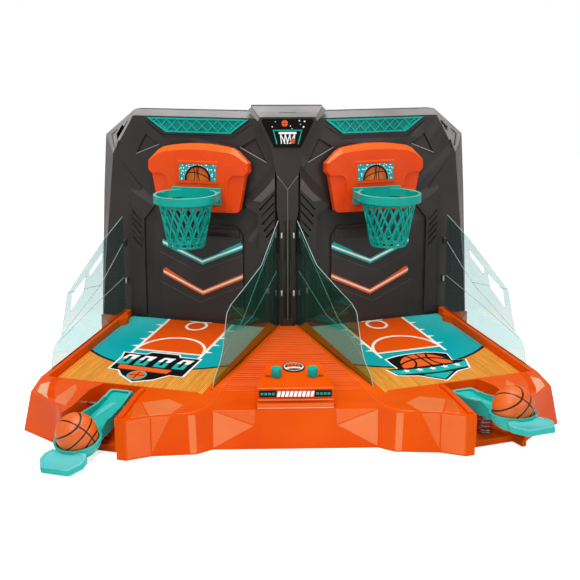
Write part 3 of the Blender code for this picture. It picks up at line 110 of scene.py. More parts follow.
@dataclass(frozen=True)
class Lane:
    """Where a lane lies in the machine."""

    side: Side
    turn: float = math.radians(21.35)
    origin_x: float = 16.1
    origin_y: float = 70.0
    court_back_z: float = 46.9
    court_slope: float = math.radians(8.36)

    @property
    def name(self) -> str:
        """Ending of this lane's piece names."""
        return self.side.label

    def matrix(self) -> Matrix:
        """Lane coordinates to the machine's, both in metres."""
        s, c, k = math.sin(self.turn), math.cos(self.turn), self.side.value
        return Matrix(((k * c, k * s, 0.0, k * self.origin_x * MM),
                       (s, -c, 0.0, self.origin_y * MM), (0.0, 0.0, 1.0, 0.0), (0.0, 0.0, 0.0, 1.0)))

    def place(self, thing: Piece, within: Matrix | None = None) -> Piece:
        """Carry a mesh from lane coordinates into the machine's.

        Args:
            thing: a piece drawn in lane coordinates.
            within: a move inside the lane that comes first.

        Returns:
            The same piece.
        """
        matrix = self.matrix() @ (within or Matrix.Identity(4))
        thing.data.transform(matrix)
        if matrix.determinant() < 0:
            thing.data.flip_normals()
        return thing

    def court_z(self, v: float) -> float:
        """Height of the court's face, in millimetres."""
        return self.court_back_z - math.tan(self.court_slope) * v

    def mapping(self) -> dict[str, Triple]:
        """Settings of a Mapping node that turns Object coordinates into (u, v, z) millimetres.

        Returns:
            A value for each of the node's inputs.
        """
        s, c, k = math.sin(self.turn), math.cos(self.turn), self.side.value
        shift = (-(self.origin_x * c + self.origin_y * s), -(self.origin_x * s - self.origin_y * c), 0.0)
        return {"Location": shift, "Rotation": (0.0, 0.0, self.turn), "Scale": (k / MM, -1 / MM, 1 / MM)}


# ---- modelling by hand
def only(*things: Piece) -> Piece:
    """Select these objects and nothing else, the first of them active.

    Args:
        things: the objects.

    Returns:
        The first of them.
    """
    bpy.ops.object.select_all(action="DESELECT")
    for thing in things:
        thing.select_set(True)
    bpy.context.view_layer.objects.active = things[0]
    return things[0]


def edit(thing: Piece, mode: str = "FACE", everything: bool = False) -> None:
    """Open a mesh in edit mode with all or nothing selected.

    Args:
        thing: the mesh object.
        mode: VERT, EDGE or FACE.
        everything: whether all of it starts selected.
    """
    only(thing)
    bpy.ops.object.mode_set(mode="EDIT")
    bpy.ops.mesh.select_mode(type=mode)
    bpy.ops.mesh.select_all(action="SELECT" if everything else "DESELECT")


def done() -> None:
    """Leave edit mode."""
    bpy.ops.object.mode_set(mode="OBJECT")


def pick(thing: Piece, test: Callable[[Vector, Vector], bool]) -> None:
    """Select the faces in edit mode that pass a test.

    Args:
        thing: the mesh object in edit mode.
        test: says of a face's middle and normal whether to take it.
    """
    mesh = bmesh.from_edit_mesh(thing.data)
    for face in mesh.faces:
        face.select_set(test(face.calc_center_median(), face.normal))
    mesh.select_flush_mode()
    bmesh.update_edit_mesh(thing.data)


def apply(thing: Piece, kind: str, **settings: object) -> Piece:
    """Add a modifier with its settings and apply it.

    Args:
        thing: the object it works on.
        kind: Blender's modifier type.
        settings: the modifier's properties.

    Returns:
        The same object.
    """
    only(thing)
    modifier = thing.modifiers.new(kind.lower(), kind)
    for key, value in settings.items():
        setattr(modifier, key, value)
    bpy.ops.object.modifier_apply(modifier=modifier.name)
    return thing


def smooth(thing: Piece, degrees: float = 32.0) -> Piece:
    """Shade smooth below an angle.

    Args:
        thing: the mesh object.
        degrees: edges flatter than this are smoothed.

    Returns:
        The same object.
    """
    only(thing)
    bpy.ops.object.shade_smooth_by_angle(angle=math.radians(degrees))
    return thing


def soften(thing: Piece, width: float, segments: int = 2, degrees: float = 30.0,
           shade: float = 32.0) -> Piece:
    """Round the edges, as a mould's edges are, and shade the result.

    Args:
        thing: the object.
        width: width of the rounding in millimetres.
        segments: steps in the rounding.
        degrees: edges flatter than this stay.
        shade: edges flatter than this are shaded smooth.

    Returns:
        The same object.
    """
    apply(thing, "BEVEL", width=width * MM, segments=segments, limit_method="ANGLE",
          angle_limit=math.radians(degrees), use_clamp_overlap=True, miter_outer="MITER_ARC")
    apply(thing, "TRIANGULATE", min_vertices=5)
    smooth(thing, shade)
    return apply(thing, "WEIGHTED_NORMAL", keep_sharp=True, weight=80)


def combine(thing: Piece, tool: Piece, operation: str) -> Piece:
    """Join a shape to an object, or cut it away, and drop the shape.

    Args:
        thing: the object that changes.
        tool: the shape.
        operation: UNION, DIFFERENCE or INTERSECT.

    Returns:
        The changed object.
    """
    apply(thing, "BOOLEAN", object=tool, operation=operation, solver="EXACT")
    bpy.data.objects.remove(tool, do_unlink=True)
    return thing


def spots(points: Iterable[Sequence[float]], flip: int = 1) -> list[Vector]:
    """Points in millimetres as vectors in metres; a flip of -1 mirrors x."""
    return [Vector((x * flip, y, z)) * MM for x, y, z in points]


def oblong(left: float, right: float, low: float, high: float) -> Points:
    """The four corners of a rectangle, in order."""
    return [(left, low), (right, low), (right, high), (left, high)]


def disc(u: float, v: float, radius: float, count: int = 40, start: float = 0.0,
         end: float = 360.0) -> Points:
    """Points round a disc or a segment of it.

    Args:
        u: its middle's first number.
        v: its second.
        radius: of the disc.
        count: how many points.
        start: angle of the first point, in degrees.
        end: angle of the last.

    Returns:
        The points in order.
    """
    step = (end - start) / (count if end - start >= 360.0 else count - 1)
    angles = [math.radians(start + step * i) for i in range(count)]
    return [(u + radius * math.cos(a), v + radius * math.sin(a)) for a in angles]


def arc_band(u: float, v: float, radius: float, half: float, start: float, end: float,
             count: int = 14) -> Points:
    """A curved band of a width round a centre, between two angles in degrees.

    Args:
        u: the centre's first number.
        v: its second.
        radius: of the band's middle line.
        half: half the band's width.
        start: its first angle.
        end: its last angle.
        count: points along each edge.

    Returns:
        The points in order.
    """
    angles = [math.radians(start + (end - start) * i / (count - 1)) for i in range(count)]
    outer = [(u + (radius + half) * math.cos(a), v + (radius + half) * math.sin(a)) for a in angles]
    inner = [(u + (radius - half) * math.cos(a), v + (radius - half) * math.sin(a)) for a in angles]
    return outer + inner[::-1]


def joined(name: str, things: Sequence[Piece]) -> Piece:
    """Several meshes as one object of this name.

    Args:
        name: the whole's name.
        things: the meshes.

    Returns:
        The whole.
    """
    whole = only(*things)
    if len(things) > 1:
        bpy.ops.object.join()
    whole.name = whole.data.name = name
    return whole


def primitive(name: str, operator: Callable, **settings: object) -> Piece:
    """Add a primitive with nothing else selected.

    Args:
        name: the object's name.
        operator: one of Blender's operators that add an object.
        settings: what it is called with.

    Returns:
        The new object.
    """
    bpy.ops.object.select_all(action="DESELECT")
    operator(**settings)
    thing = bpy.context.object
    thing.name = thing.data.name = name
    return thing


def prism(name: str, corners: Sequence[Vector], step: Vector) -> Piece:
    """A flat outline extruded along a step, both in metres.

    Args:
        name: the object's name.
        corners: the outline's corners, in order.
        step: from the outline to its far copy.

    Returns:
        The closed solid.
    """
    thing = primitive(name, bpy.ops.mesh.primitive_circle_add, vertices=len(corners), radius=MM,
                      fill_type="NGON")
    for vertex, corner in zip(thing.data.vertices, corners):
        vertex.co = corner
    edit(thing, everything=True)
    bpy.ops.mesh.extrude_region_move(TRANSFORM_OT_translate={"value": step})
    bpy.ops.mesh.select_all(action="SELECT")
    bpy.ops.mesh.normals_make_consistent(inside=False)
    done()
    return thing


def plate(name: str, outline: Points, low: float, high: float, across: Across) -> Piece:
    """A plate with a flat outline, extruded along one lane axis.

    Args:
        name: the object's name.
        outline: corners in millimetres, in the two other lane axes.
        low: where its thickness starts.
        high: where its thickness ends.
        across: the axis of its thickness.

    Returns:
        The plate, in lane coordinates.
    """
    corners = [across.point(first, second, low) for first, second in outline]
    return prism(name, corners, across.along(high - low))


def facet(name: str, ridge: Sequence[Triple]) -> Piece:
    """A low many-sided rise on a back panel, sunk a little into it.

    Args:
        name: the object's name.
        ridge: corners as (u, z, rise) in millimetres.

    Returns:
        The solid, in lane coordinates.
    """
    thing = plate(name, [(u, z) for u, z, _ in ridge], -1.0, 0.0, Across.V)
    for vertex in thing.data.vertices:
        if vertex.co.y > -0.5 * MM:
            spot = Vector((vertex.co.x, vertex.co.z)) / MM
            vertex.co.y = min(ridge, key=lambda p: (spot - Vector(p[:2])).length)[2] * MM
    return apply(thing, "TRIANGULATE") if len(ridge) > 3 else thing


def block(name: str, size: Sequence[float], centre: Sequence[float],
          turn: Euler | None = None) -> Piece:
    """A squared block with its place in its mesh, ready to be shaped; millimetres.

    Args:
        name: the object's name.
        size: along x, y and z.
        centre: its middle.
        turn: its rotation.

    Returns:
        The block.
    """
    thing = primitive(name, bpy.ops.mesh.primitive_cube_add, size=1.0)
    thing.data.transform(Matrix.LocRotScale(Vector(centre) * MM, turn, Vector(size) * MM))
    return thing


def tube(name: str, path: Iterable[Sequence[float]], radius: float, closed: bool = False,
         sides: int = 2) -> Piece:
    """A round wire or bead along a path in metres, made a mesh.

    Args:
        name: the object's name.
        path: its points.
        radius: in millimetres.
        closed: whether it joins its own start.
        sides: bevel resolution of the round.

    Returns:
        The mesh object.
    """
    points = [tuple(p) for p in path]
    curve = bpy.data.curves.new(name, "CURVE")
    curve.dimensions = "3D"
    curve.bevel_depth = radius * MM
    curve.bevel_resolution = sides
    curve.use_fill_caps = not closed
    spline = curve.splines.new("POLY")
    spline.points.add(len(points) - 1)
    for point, place in zip(spline.points, points):
        point.co = (*place, 1.0)
    spline.use_cyclic_u = closed
    thing = bpy.data.objects.new(name, curve)
    bpy.context.collection.objects.link(thing)
    only(thing)
    bpy.ops.object.convert(target="MESH")
    return smooth(bpy.context.object, 60.0)


def from_node(name: str, node: str) -> Piece:
    """A copy of a CAD node's mesh with its triangles merged back into flat faces.

    Args:
        name: the new object's name.
        node: the CAD node.

    Returns:
        The copy, in the machine's frame.
    """
    source = bpy.data.objects[node]
    thing = bpy.data.objects.new(name, source.data.copy())
    thing.data.name = name
    bpy.context.collection.objects.link(thing)
    edit(thing, "VERT", everything=True)
    bpy.ops.mesh.remove_doubles(threshold=0.002 * MM)
    bpy.ops.mesh.dissolve_limited(angle_limit=math.radians(0.6))
    done()
    return thing


# ---- finishes
def linear(colour: str) -> tuple[float, float, float, float]:
    """An sRGB hex colour as linear RGBA.

    Args:
        colour: such as "#F2A61B".

    Returns:
        Its linear parts and full opacity.
    """
    parts = [int(colour[i:i + 2], 16) / 255 for i in (1, 3, 5)]
    flat = [p / 12.92 if p <= 0.04045 else ((p + 0.055) / 1.055) ** 2.4 for p in parts]
    return (*flat, 1.0)


def set_all(node: Node, tree: Tree, values: dict) -> None:
    """Set or link several of a node's inputs.

    Args:
        node: the node.
        tree: the nodes it is among.
        values: a value or another node's output for each named or numbered input.
    """
    for key, value in values.items():
        if isinstance(value, Socket):
            tree.links.new(value, node.inputs[key])
        else:
            node.inputs[key].default_value = value


def add(tree: Tree, kind: str, links: dict | None = None, **settings: object) -> Node:
    """Add a node with its settings and links.

    Args:
        tree: the material's nodes.
        kind: the node's type without its ShaderNode prefix.
        links: the inputs, as set_all takes them.
        settings: the node's own properties.

    Returns:
        The node.
    """
    node = tree.nodes.new("ShaderNode" + kind)
    for key, value in settings.items():
        setattr(node, key, value)
    set_all(node, tree, links or {})
    return node


class Finish:
    """A surface that makes its material once."""

    name: str

    def dress(self, tree: Tree, shader: Node) -> None:
        """Add this surface's nodes round the main shader.

        Args:
            tree: the material's nodes.
            shader: its main shader.
        """
        raise NotImplementedError

    def lay(self, tree: Tree, ground: Socket | str, mask: Socket, ink: Socket | str) -> Socket:
        """A colour over a ground, by the share that a mask gives."""
        colours = {key: linear(value) if isinstance(value, str) else value
                   for key, value in ((6, ground), (7, ink))}
        return add(tree, "Mix", {0: mask, **colours}, data_type="RGBA").outputs[2]

    @staticmethod
    def placed(tree: Tree, mapping: dict) -> tuple[Socket, Sequence[Socket]]:
        """Object coordinates through a mapping: the place itself, and its three numbers apart.

        Args:
            tree: the material's nodes.
            mapping: the Mapping node's inputs.

        Returns:
            The place, and its numbers.
        """
        here = add(tree, "TexCoord").outputs["Object"]
        local = add(tree, "Mapping", {"Vector": here, **mapping}).outputs[0]
        return local, add(tree, "SeparateXYZ", {0: local}).outputs

    def material(self) -> bpy.types.Material:
        """This finish's material, made on first use.

        Returns:
            The material.
        """
        made = bpy.data.materials.get(self.name)
        if made is None:
            made = bpy.data.materials.new(self.name)
            made.use_nodes = True
            self.dress(made.node_tree, made.node_tree.nodes["Principled BSDF"])
        return made


@dataclass(frozen=True)
class MouldedAbs(Finish):
    """Injection moulded ABS: even colour with faint flow clouds and the mould's fine texture."""

    name: str
    colour: str
    deep: str
    roughness: float
    grain: float = 0.5       # size of the mould texture, mm, coarser than the real 0.1 so that it shows
    relief: float = 0.01     # its depth, mm
    shine: float = 0.25

    def dress(self, tree: Tree, shader: Node) -> None:
        """Add the clouds, the texture and the gloss."""
        here = add(tree, "TexCoord").outputs["Object"]
        cloud = add(tree, "TexNoise", {"Vector": here, "Scale": 18.0, "Detail": 3.0}).outputs[0]
        share = add(tree, "MapRange", {0: cloud, 1: 0.35, 2: 0.65}).outputs[0]
        colour = self.lay(tree, self.deep, share, self.colour)
        grain = add(tree, "TexNoise", {"Vector": here, "Scale": 1 / (self.grain * MM), "Detail": 2.0})
        bump = add(tree, "Bump", {"Height": grain.outputs[0], "Strength": 0.5,
                                  "Distance": self.relief * MM})
        gloss = add(tree, "MapRange", {0: cloud, 1: 0.3, 2: 0.7, 3: self.roughness - 0.03,
                                       4: self.roughness + 0.04}).outputs[0]
        set_all(shader, tree, {"Base Color": colour, "Roughness": gloss, "Normal": bump.outputs[0],
                               "IOR": 1.53, "Specular IOR Level": self.shine})


@dataclass(frozen=True)
class ClearSheet(Finish):
    """Clear polystyrene sheet with a light tint, polished, with faint haze and scratches."""

    name: str
    tint: str
    haze_colour: str
    haze: float              # share of light that the haze scatters
    mirror_ior: float = 1.45

    def dress(self, tree: Tree, shader: Node) -> None:
        """Mix what shows through with the surface's own gloss and haze."""
        here = add(tree, "TexCoord").outputs["Object"]
        streaks = add(tree, "TexNoise", {"Vector": here, "Scale": 55.0, "Detail": 4.0,
                                         "Distortion": 1.5}).outputs[0]
        rough = add(tree, "MapRange", {0: streaks, 1: 0.3, 2: 0.7, 3: 0.03, 4: 0.10}).outputs[0]
        share = add(tree, "MapRange", {0: streaks, 1: 0.3, 2: 0.7, 3: self.haze * 0.8,
                                       4: self.haze * 1.2}).outputs[0]
        set_all(shader, tree, {"Base Color": linear(self.haze_colour), "Roughness": rough, "IOR": 1.59})
        through = add(tree, "BsdfTransparent", {0: linear(self.tint)}).outputs[0]
        gloss = add(tree, "BsdfAnisotropic", {0: (1.0, 1.0, 1.0, 1.0), "Roughness": rough}).outputs[0]
        # only the face towards the viewer mirrors, or the thin sheet would trap light
        behind = add(tree, "NewGeometry").outputs["Backfacing"]
        near = add(tree, "Math", {0: 1.0, 1: behind}, operation="SUBTRACT").outputs[0]
        mirror = add(tree, "Fresnel", {"IOR": self.mirror_ior}).outputs[0]
        mirror = add(tree, "Math", {0: mirror, 1: near}, operation="MULTIPLY").outputs[0]
        share = add(tree, "Math", {0: share, 1: near}, operation="MULTIPLY").outputs[0]
        pane = add(tree, "MixShader", {0: mirror, 1: through, 2: gloss}).outputs[0]
        whole = add(tree, "MixShader", {0: share, 1: pane, 2: shader.outputs[0]}).outputs[0]
        tree.links.new(whole, tree.nodes["Material Output"].inputs[0])


@dataclass(frozen=True)
class DrawnSteel(Finish):
    """Drawn steel wire and turned pins: bright, with fine lines along the draw."""

    name: str = "drawn_steel"

    def dress(self, tree: Tree, shader: Node) -> None:
        """Add fine lines and a slight stain."""
        here = add(tree, "TexCoord").outputs["Object"]
        # draw lines are finer than 0.1 mm, drawn at about 1 mm so that they show
        lines = add(tree, "TexNoise", {"Vector": here, "Scale": 900.0, "Detail": 2.0}).outputs[0]
        rough = add(tree, "MapRange", {0: lines, 3: 0.22, 4: 0.38}).outputs[0]
        colour = self.lay(tree, "#9A9B9D", lines, "#C9CACC")
        bump = add(tree, "Bump", {"Height": lines, "Strength": 0.2, "Distance": 0.01 * MM}).outputs[0]
        set_all(shader, tree, {"Base Color": colour, "Roughness": rough, "Normal": bump, "Metallic": 1.0})


@dataclass(frozen=True)
class BallVinyl(Finish):
    """Moulded vinyl ball: pebbled orange skin with black inlaid seams."""

    name: str
    centre: Triple
    turn: Triple
    seam: float = 0.6        # half width of a seam, mm
    side_seam: float = 6.9   # distance of the side seams from the middle, mm
    side_bend: float = 0.02  # how fast the side seams part towards the poles, per mm
    radius: float = 15.5

    def off_side(self, x: float, z: float) -> float:
        """Distance of a point on the ball from the nearer side seam, in millimetres."""
        return abs(abs(x) - self.side_bend * z * z - self.side_seam)

    def mapping(self) -> dict[str, Triple]:
        """Settings of a Mapping node that gives millimetres from the ball's middle.

        Returns:
            A value for each of the node's inputs.
        """
        turn = Euler(self.turn)
        middle = turn.to_matrix() @ Vector(self.centre) / MM
        return {"Location": tuple(-middle), "Rotation": self.turn, "Scale": (1 / MM,) * 3}

    def dress(self, tree: Tree, shader: Node) -> None:
        """Paint the seams and press in the pebbles."""
        local, axes = self.placed(tree, self.mapping())
        aside = add(tree, "Math", {0: axes[0]}, operation="ABSOLUTE").outputs[0]
        squared = add(tree, "Math", {0: axes[2], 1: axes[2]}, operation="MULTIPLY").outputs[0]
        aside = add(tree, "Math", {0: squared, 1: -self.side_bend, 2: aside},
                    operation="MULTIPLY_ADD").outputs[0]
        seams = [add(tree, "Math", {0: value, 1: place, 2: self.seam * width}, operation="COMPARE").outputs[0]
                 for value, place, width in ((axes[0], 0.0, 1.0), (axes[2], 0.0, 1.0),
                                             (aside, self.side_seam, 1.15))]
        pair = add(tree, "Math", {0: seams[0], 1: seams[1]}, operation="MAXIMUM").outputs[0]
        black = add(tree, "Math", {0: pair, 1: seams[2]}, operation="MAXIMUM").outputs[0]
        cloud = add(tree, "TexNoise", {"Vector": local, "Scale": 0.12, "Detail": 3.0}).outputs[0]
        colour = self.lay(tree, self.lay(tree, "#DC4C06", cloud, "#F67A22"), black, "#17100D")
        # pebbles are about 0.4 mm on a toy ball, drawn at 0.7 mm so that they show
        pebbles = add(tree, "TexVoronoi", {"Vector": local, "Scale": 1.4}).outputs[0]
        bump = add(tree, "Bump", {"Height": pebbles, "Strength": 0.35, "Distance": 0.12 * MM},
                   invert=True).outputs[0]
        rough = add(tree, "MapRange", {0: cloud, 3: 0.34, 4: 0.46}).outputs[0]
        set_all(shader, tree, {"Base Color": colour, "Roughness": rough, "Normal": bump, "IOR": 1.5})


class Print(Finish):
    """Inks laid over each other on a coated sheet; the subclass says which."""

    gloss = 0.32

    def paint(self, tree: Tree) -> Socket:
        """Lay this print's inks.

        Args:
            tree: the material's nodes.

        Returns:
            The colour of the finished print.
        """
        raise NotImplementedError

    def dress(self, tree: Tree, shader: Node) -> None:
        """Put the inks under a clear lacquer with a slight unevenness."""
        here = add(tree, "TexCoord").outputs["Object"]
        cloud = add(tree, "TexNoise", {"Vector": here, "Scale": 120.0, "Detail": 2.0}).outputs[0]
        rough = add(tree, "MapRange", {0: cloud, 3: self.gloss - 0.04, 4: self.gloss + 0.05}).outputs[0]
        bump = add(tree, "Bump", {"Height": cloud, "Strength": 0.1, "Distance": 0.02 * MM}).outputs[0]
        set_all(shader, tree, {"Base Color": self.paint(tree), "Roughness": rough, "Normal": bump,
                               "Specular IOR Level": 0.14})

    def stripe(self, tree: Tree, value: Socket, middle: float, half: float) -> Socket:
        """1 where a value lies within half of its middle."""
        return add(tree, "Math", {0: value, 1: middle, 2: half}, operation="COMPARE").outputs[0]

    def distance(self, tree: Tree, place: Socket, centre: Pair) -> Socket:
        """Flat distance of a (first, second, 0) point from a centre."""
        return add(tree, "VectorMath", {0: place, 1: (*centre, 0.0)}, operation="DISTANCE").outputs["Value"]

    def both(self, tree: Tree, *masks: Socket) -> Socket:
        """1 where all masks are 1.

        Args:
            tree: the material's nodes.
            masks: each 0 or 1.

        Returns:
            Their product.
        """
        result = masks[0]
        for mask in masks[1:]:
            result = add(tree, "Math", {0: result, 1: mask}, operation="MULTIPLY").outputs[0]
        return result


@dataclass(frozen=True)
class CourtPrint(Print):
    """The printed court: teal floor with a dot screen, orange paint with white lines, maple front."""

    name: str
    lane: Lane
    teal: str = "#00A6AA"
    teal_dots: str = "#4CD0CB"
    orange: str = "#EE5406"
    white: str = "#FFF8EE"
    maple: str = "#F6B24E"
    maple_dark: str = "#E2922C"
    line: float = 1.25       # half width of a line, mm
    paint_middle: float = 65.6
    paint_half: float = 31.2
    throw_v: float = 70.4
    ring_v: float = 10.9
    ring_radius: float = 9.0
    arch_v: float = -4.0
    arch_radius: float = 108.5
    ticks: tuple[float, ...] = (15.4, 32.5, 48.0, 63.6)

    def paint(self, tree: Tree) -> Socket:
        """Lay the inks in the printer's order, floor first and lines last."""
        _, axes = self.placed(tree, self.lane.mapping())
        flat = add(tree, "CombineXYZ", {0: axes[0], 1: axes[1]}).outputs[0]
        from_middle = add(tree, "Math", {0: axes[0], 1: self.paint_middle}, operation="SUBTRACT").outputs[0]
        aside = add(tree, "Math", {0: from_middle}, operation="ABSOLUTE").outputs[0]
        colour = self.boards(tree, axes, flat)
        arch = self.distance(tree, flat, (66.7, self.arch_v))
        inside = add(tree, "Math", {0: arch, 1: self.arch_radius}, operation="LESS_THAN").outputs[0]
        colour = self.lay(tree, colour, inside, self.screened_teal(tree, axes, flat))
        colour = self.lay(tree, colour, self.stripe(tree, arch, self.arch_radius, 1.3), "#15181A")
        in_paint = self.stripe(tree, aside, 0.0, self.paint_half)
        behind = add(tree, "Math", {0: axes[1], 1: self.throw_v}, operation="LESS_THAN").outputs[0]
        colour = self.lay(tree, colour, self.both(tree, in_paint, behind), self.orange)
        throw = self.distance(tree, flat, (self.paint_middle, self.throw_v))
        ring = self.distance(tree, flat, (self.paint_middle, self.ring_v))
        lines = [
            self.both(tree, self.stripe(tree, throw, self.paint_half - 0.4, self.line), behind),
            self.stripe(tree, ring, self.ring_radius, self.line),
            self.both(tree, self.stripe(tree, aside, 0.0, 11.0), self.stripe(tree, axes[1], 0.8, 1.2)),
            self.both(tree, in_paint, self.stripe(tree, axes[1], self.throw_v, self.line * 0.9)),
            self.both(tree, self.stripe(tree, aside, self.paint_half, self.line),
                      self.stripe(tree, axes[1], 38.0, 42.0)),
        ]
        for v in self.ticks:
            # each tick tapers to a point
            reach = add(tree, "Math", {0: axes[1], 1: v}, operation="SUBTRACT").outputs[0]
            thin = add(tree, "Math", {0: reach}, operation="ABSOLUTE").outputs[0]
            slope = add(tree, "Math", {0: thin, 1: 3.2, 2: aside}, operation="MULTIPLY_ADD").outputs[0]
            lines.append(self.both(tree, self.stripe(tree, slope, self.paint_half + 3.5, 3.9),
                                   self.stripe(tree, aside, self.paint_half + 3.5, 3.9)))
        for mask in lines:
            colour = self.lay(tree, colour, mask, self.white)
        return colour

    def boards(self, tree: Tree, axes: Sequence, flat: Socket) -> Socket:
        """Printed maple: long grain down the court, board joints and a few dark streaks.

        Args:
            tree: the material's nodes.
            axes: u, v and z in millimetres.
            flat: u and v as one vector.

        Returns:
            The wood's colour.
        """
        long = add(tree, "Mapping", {"Vector": flat, "Scale": (0.26, 0.022, 1.0)}).outputs[0]
        grain = add(tree, "TexNoise", {"Vector": long, "Scale": 1.0, "Detail": 5.0, "Roughness": 0.6,
                                       "Distortion": 1.2}).outputs[0]
        share = add(tree, "MapRange", {0: grain, 1: 0.36, 2: 0.66}).outputs[0]
        wood = self.lay(tree, self.maple_dark, share, self.maple)
        waves = add(tree, "TexWave", {"Vector": long, "Scale": 0.75, "Distortion": 6.0, "Detail": 3.0},
                    wave_type="BANDS", bands_direction="X").outputs[1]
        fine = add(tree, "MapRange", {0: waves, 1: 0.55, 2: 0.92, 3: 0.0, 4: 0.85}).outputs[0]
        wood = self.lay(tree, wood, fine, "#B9651A")
        board = add(tree, "Math", {0: axes[0], 1: 11.0}, operation="PINGPONG").outputs[0]
        return self.lay(tree, wood, self.stripe(tree, board, 0.0, 0.16), "#B9701F")

    def screened_teal(self, tree: Tree, axes: Sequence, flat: Socket) -> Socket:
        """Teal with a screen of light dots that fades towards the front.

        Args:
            tree: the material's nodes.
            axes: u, v and z in millimetres.
            flat: u and v as one vector.

        Returns:
            The ink's colour.
        """
        dots = add(tree, "TexVoronoi", {"Vector": flat, "Scale": 0.42, "Randomness": 0.0},
                   voronoi_dimensions="2D").outputs[0]
        fade = add(tree, "MapRange", {0: axes[1], 1: 8.0, 2: 66.0, 3: 0.46, 4: 0.0}).outputs[0]
        dot = add(tree, "Math", {0: dots, 1: fade}, operation="LESS_THAN").outputs[0]
        return self.lay(tree, self.teal, dot, self.teal_dots)


@dataclass(frozen=True)
class HalfBallPrint(Print):
    """The board's window print: a ball half risen over its lower edge, on teal with glow and dots."""

    name: str
    lane: Lane
    middle: Pair
    radius: float = 11.4
    ground: str = "#1AA7A9"

    def paint(self, tree: Tree) -> Socket:
        """Lay dots, glow, ball and seams."""
        _, axes = self.placed(tree, self.lane.mapping())
        flat = add(tree, "CombineXYZ", {0: axes[0], 1: axes[2]}).outputs[0]
        u, z = self.middle
        dots = add(tree, "TexVoronoi", {"Vector": flat, "Scale": 0.36}, voronoi_dimensions="2D").outputs[0]
        spark = add(tree, "Math", {0: dots, 1: 0.21}, operation="LESS_THAN").outputs[0]
        colour = self.lay(tree, self.ground, spark, "#FFFFFF")
        glow = self.distance(tree, flat, self.middle)
        rim = add(tree, "MapRange", {0: glow, 1: self.radius, 2: self.radius + 1.6, 3: 0.9,
                                     4: 0.0}).outputs[0]
        colour = self.lay(tree, colour, rim, "#F4FFFF")
        ball = add(tree, "Math", {0: glow, 1: self.radius + 0.4}, operation="LESS_THAN").outputs[0]
        shade = add(tree, "MapRange", {0: glow, 1: 2.0, 2: self.radius}).outputs[0]
        skin = self.lay(tree, "#E9772F", shade, "#B9501A")
        colour = self.lay(tree, colour, ball, skin)
        seams = [self.stripe(tree, glow, self.radius, 0.95), self.stripe(tree, axes[0], u + 0.6, 0.4)]
        for shift_u, shift_z, radius in ((-19.0, 6.0, 18.6), (20.0, 4.0, 17.2), (6.0, -24.0, 30.0)):
            arc = self.distance(tree, flat, (u + shift_u, z + shift_z))
            seams.append(self.both(tree, self.stripe(tree, arc, radius, 0.42), ball))
        for seam in seams:
            colour = self.lay(tree, colour, seam, "#1B120E")
        return colour


@dataclass(frozen=True)
class PlainInk(Print):
    """One ink with a slight mottle, as screen printing leaves it."""

    name: str
    colour: str
    mottle: str

    def paint(self, tree: Tree) -> Socket:
        """Mottle the ink."""
        here = add(tree, "TexCoord").outputs["Object"]
        # a screen's mesh is about 0.1 mm, its mottle drawn at 2.5 mm so that it shows
        cloud = add(tree, "TexNoise", {"Vector": here, "Scale": 400.0, "Detail": 2.0}).outputs[0]
        return self.lay(tree, self.mottle, cloud, self.colour)


@dataclass(frozen=True)
class StudioFloor(Finish):
    """A white paper sweep: matt, and white to the camera, but it keeps a shadow."""

    name: str = "paper_sweep"
    glow: float = 0.68       # added light that only the camera sees

    def dress(self, tree: Tree, shader: Node) -> None:
        """Add paper fibre and the camera's white."""
        here = add(tree, "TexCoord").outputs["Object"]
        fibre = add(tree, "TexNoise", {"Vector": here, "Scale": 300.0}).outputs[0]
        colour = self.lay(tree, "#F6F6F5", fibre, "#FFFFFF")
        set_all(shader, tree, {"Base Color": colour, "Roughness": 0.9})
        seen = add(tree, "LightPath").outputs["Is Camera Ray"]
        glow = add(tree, "Math", {0: seen, 1: self.glow}, operation="MULTIPLY").outputs[0]
        set_all(shader, tree, {"Emission Color": (1.0, 1.0, 1.0, 1.0), "Emission Strength": glow})


# the base's ABS from a fine-textured mould: one saturated orange with a soft sheen
ORANGE = MouldedAbs("orange_abs", "#EE5A02", "#E64E00", 0.24, 0.6, 0.006, 0.08)
# painted highlight: the same orange made lighter, so that a flat facet shows as a lit plane
BRIGHT_FACET = MouldedAbs("orange_abs_polished", "#EF6C22", "#EA6118", 0.12, 0.6, 0.003)
# painted highlight: a paler orange for facets that catch the lamps most
PALE_FACET = MouldedAbs("orange_abs_mirror_polished", "#F28348", "#EE773A", 0.1, 0.6, 0.003)
# painted highlight: peach, for a facet washed out by the top lamp's reflection
SHEEN_FACET = MouldedAbs("orange_abs_flashed", "#FBBB94", "#F5A67A", 0.1, 0.6, 0.003)
# the backboards' redder ABS, smooth, with a clearer gloss
BOARD_ORANGE = MouldedAbs("board_orange_abs", "#F25016", "#E8460E", 0.26, 0.6, 0.006, 0.2)
# ABS from a spark-eroded mould: satin, nearly black, with broad weak highlights
CHARCOAL = MouldedAbs("charcoal_abs", "#393534", "#322F2E", 0.33, 0.45, 0.02)
# painted highlight: thin pale lines along the panels' edges and bevels, standing in for the light they catch
PALE_EDGE = MouldedAbs("charcoal_abs_polished_edge", "#A5A4A3", "#8B8A89", 0.35, 0.45, 0.01)
# painted highlight: the same pale line on the spine's crease, a little duller
CREASE_GREY = MouldedAbs("charcoal_abs_polished_crease", "#7E7C7B", "#6C6A69", 0.3, 0.45, 0.01)
# painted shade: dark strips beside the bevels and the keel, matt and almost black
PAINTED_SHADE = MouldedAbs("charcoal_abs_painted_shade", "#1C1716", "#171312", 0.5, 0.45, 0.01)
# painted highlight: bevels that face the lamps, painted light grey
BEVEL_GREY = MouldedAbs("charcoal_abs_satin_bevel", "#9C9A99", "#878584", 0.3, 0.45, 0.01)
# painted highlight: raised bands, slats and chevron edges painted one step lighter than the charcoal
BAND_GREY = MouldedAbs("charcoal_abs_satin_band", "#5C5A59", "#4F4D4C", 0.3, 0.45, 0.01)
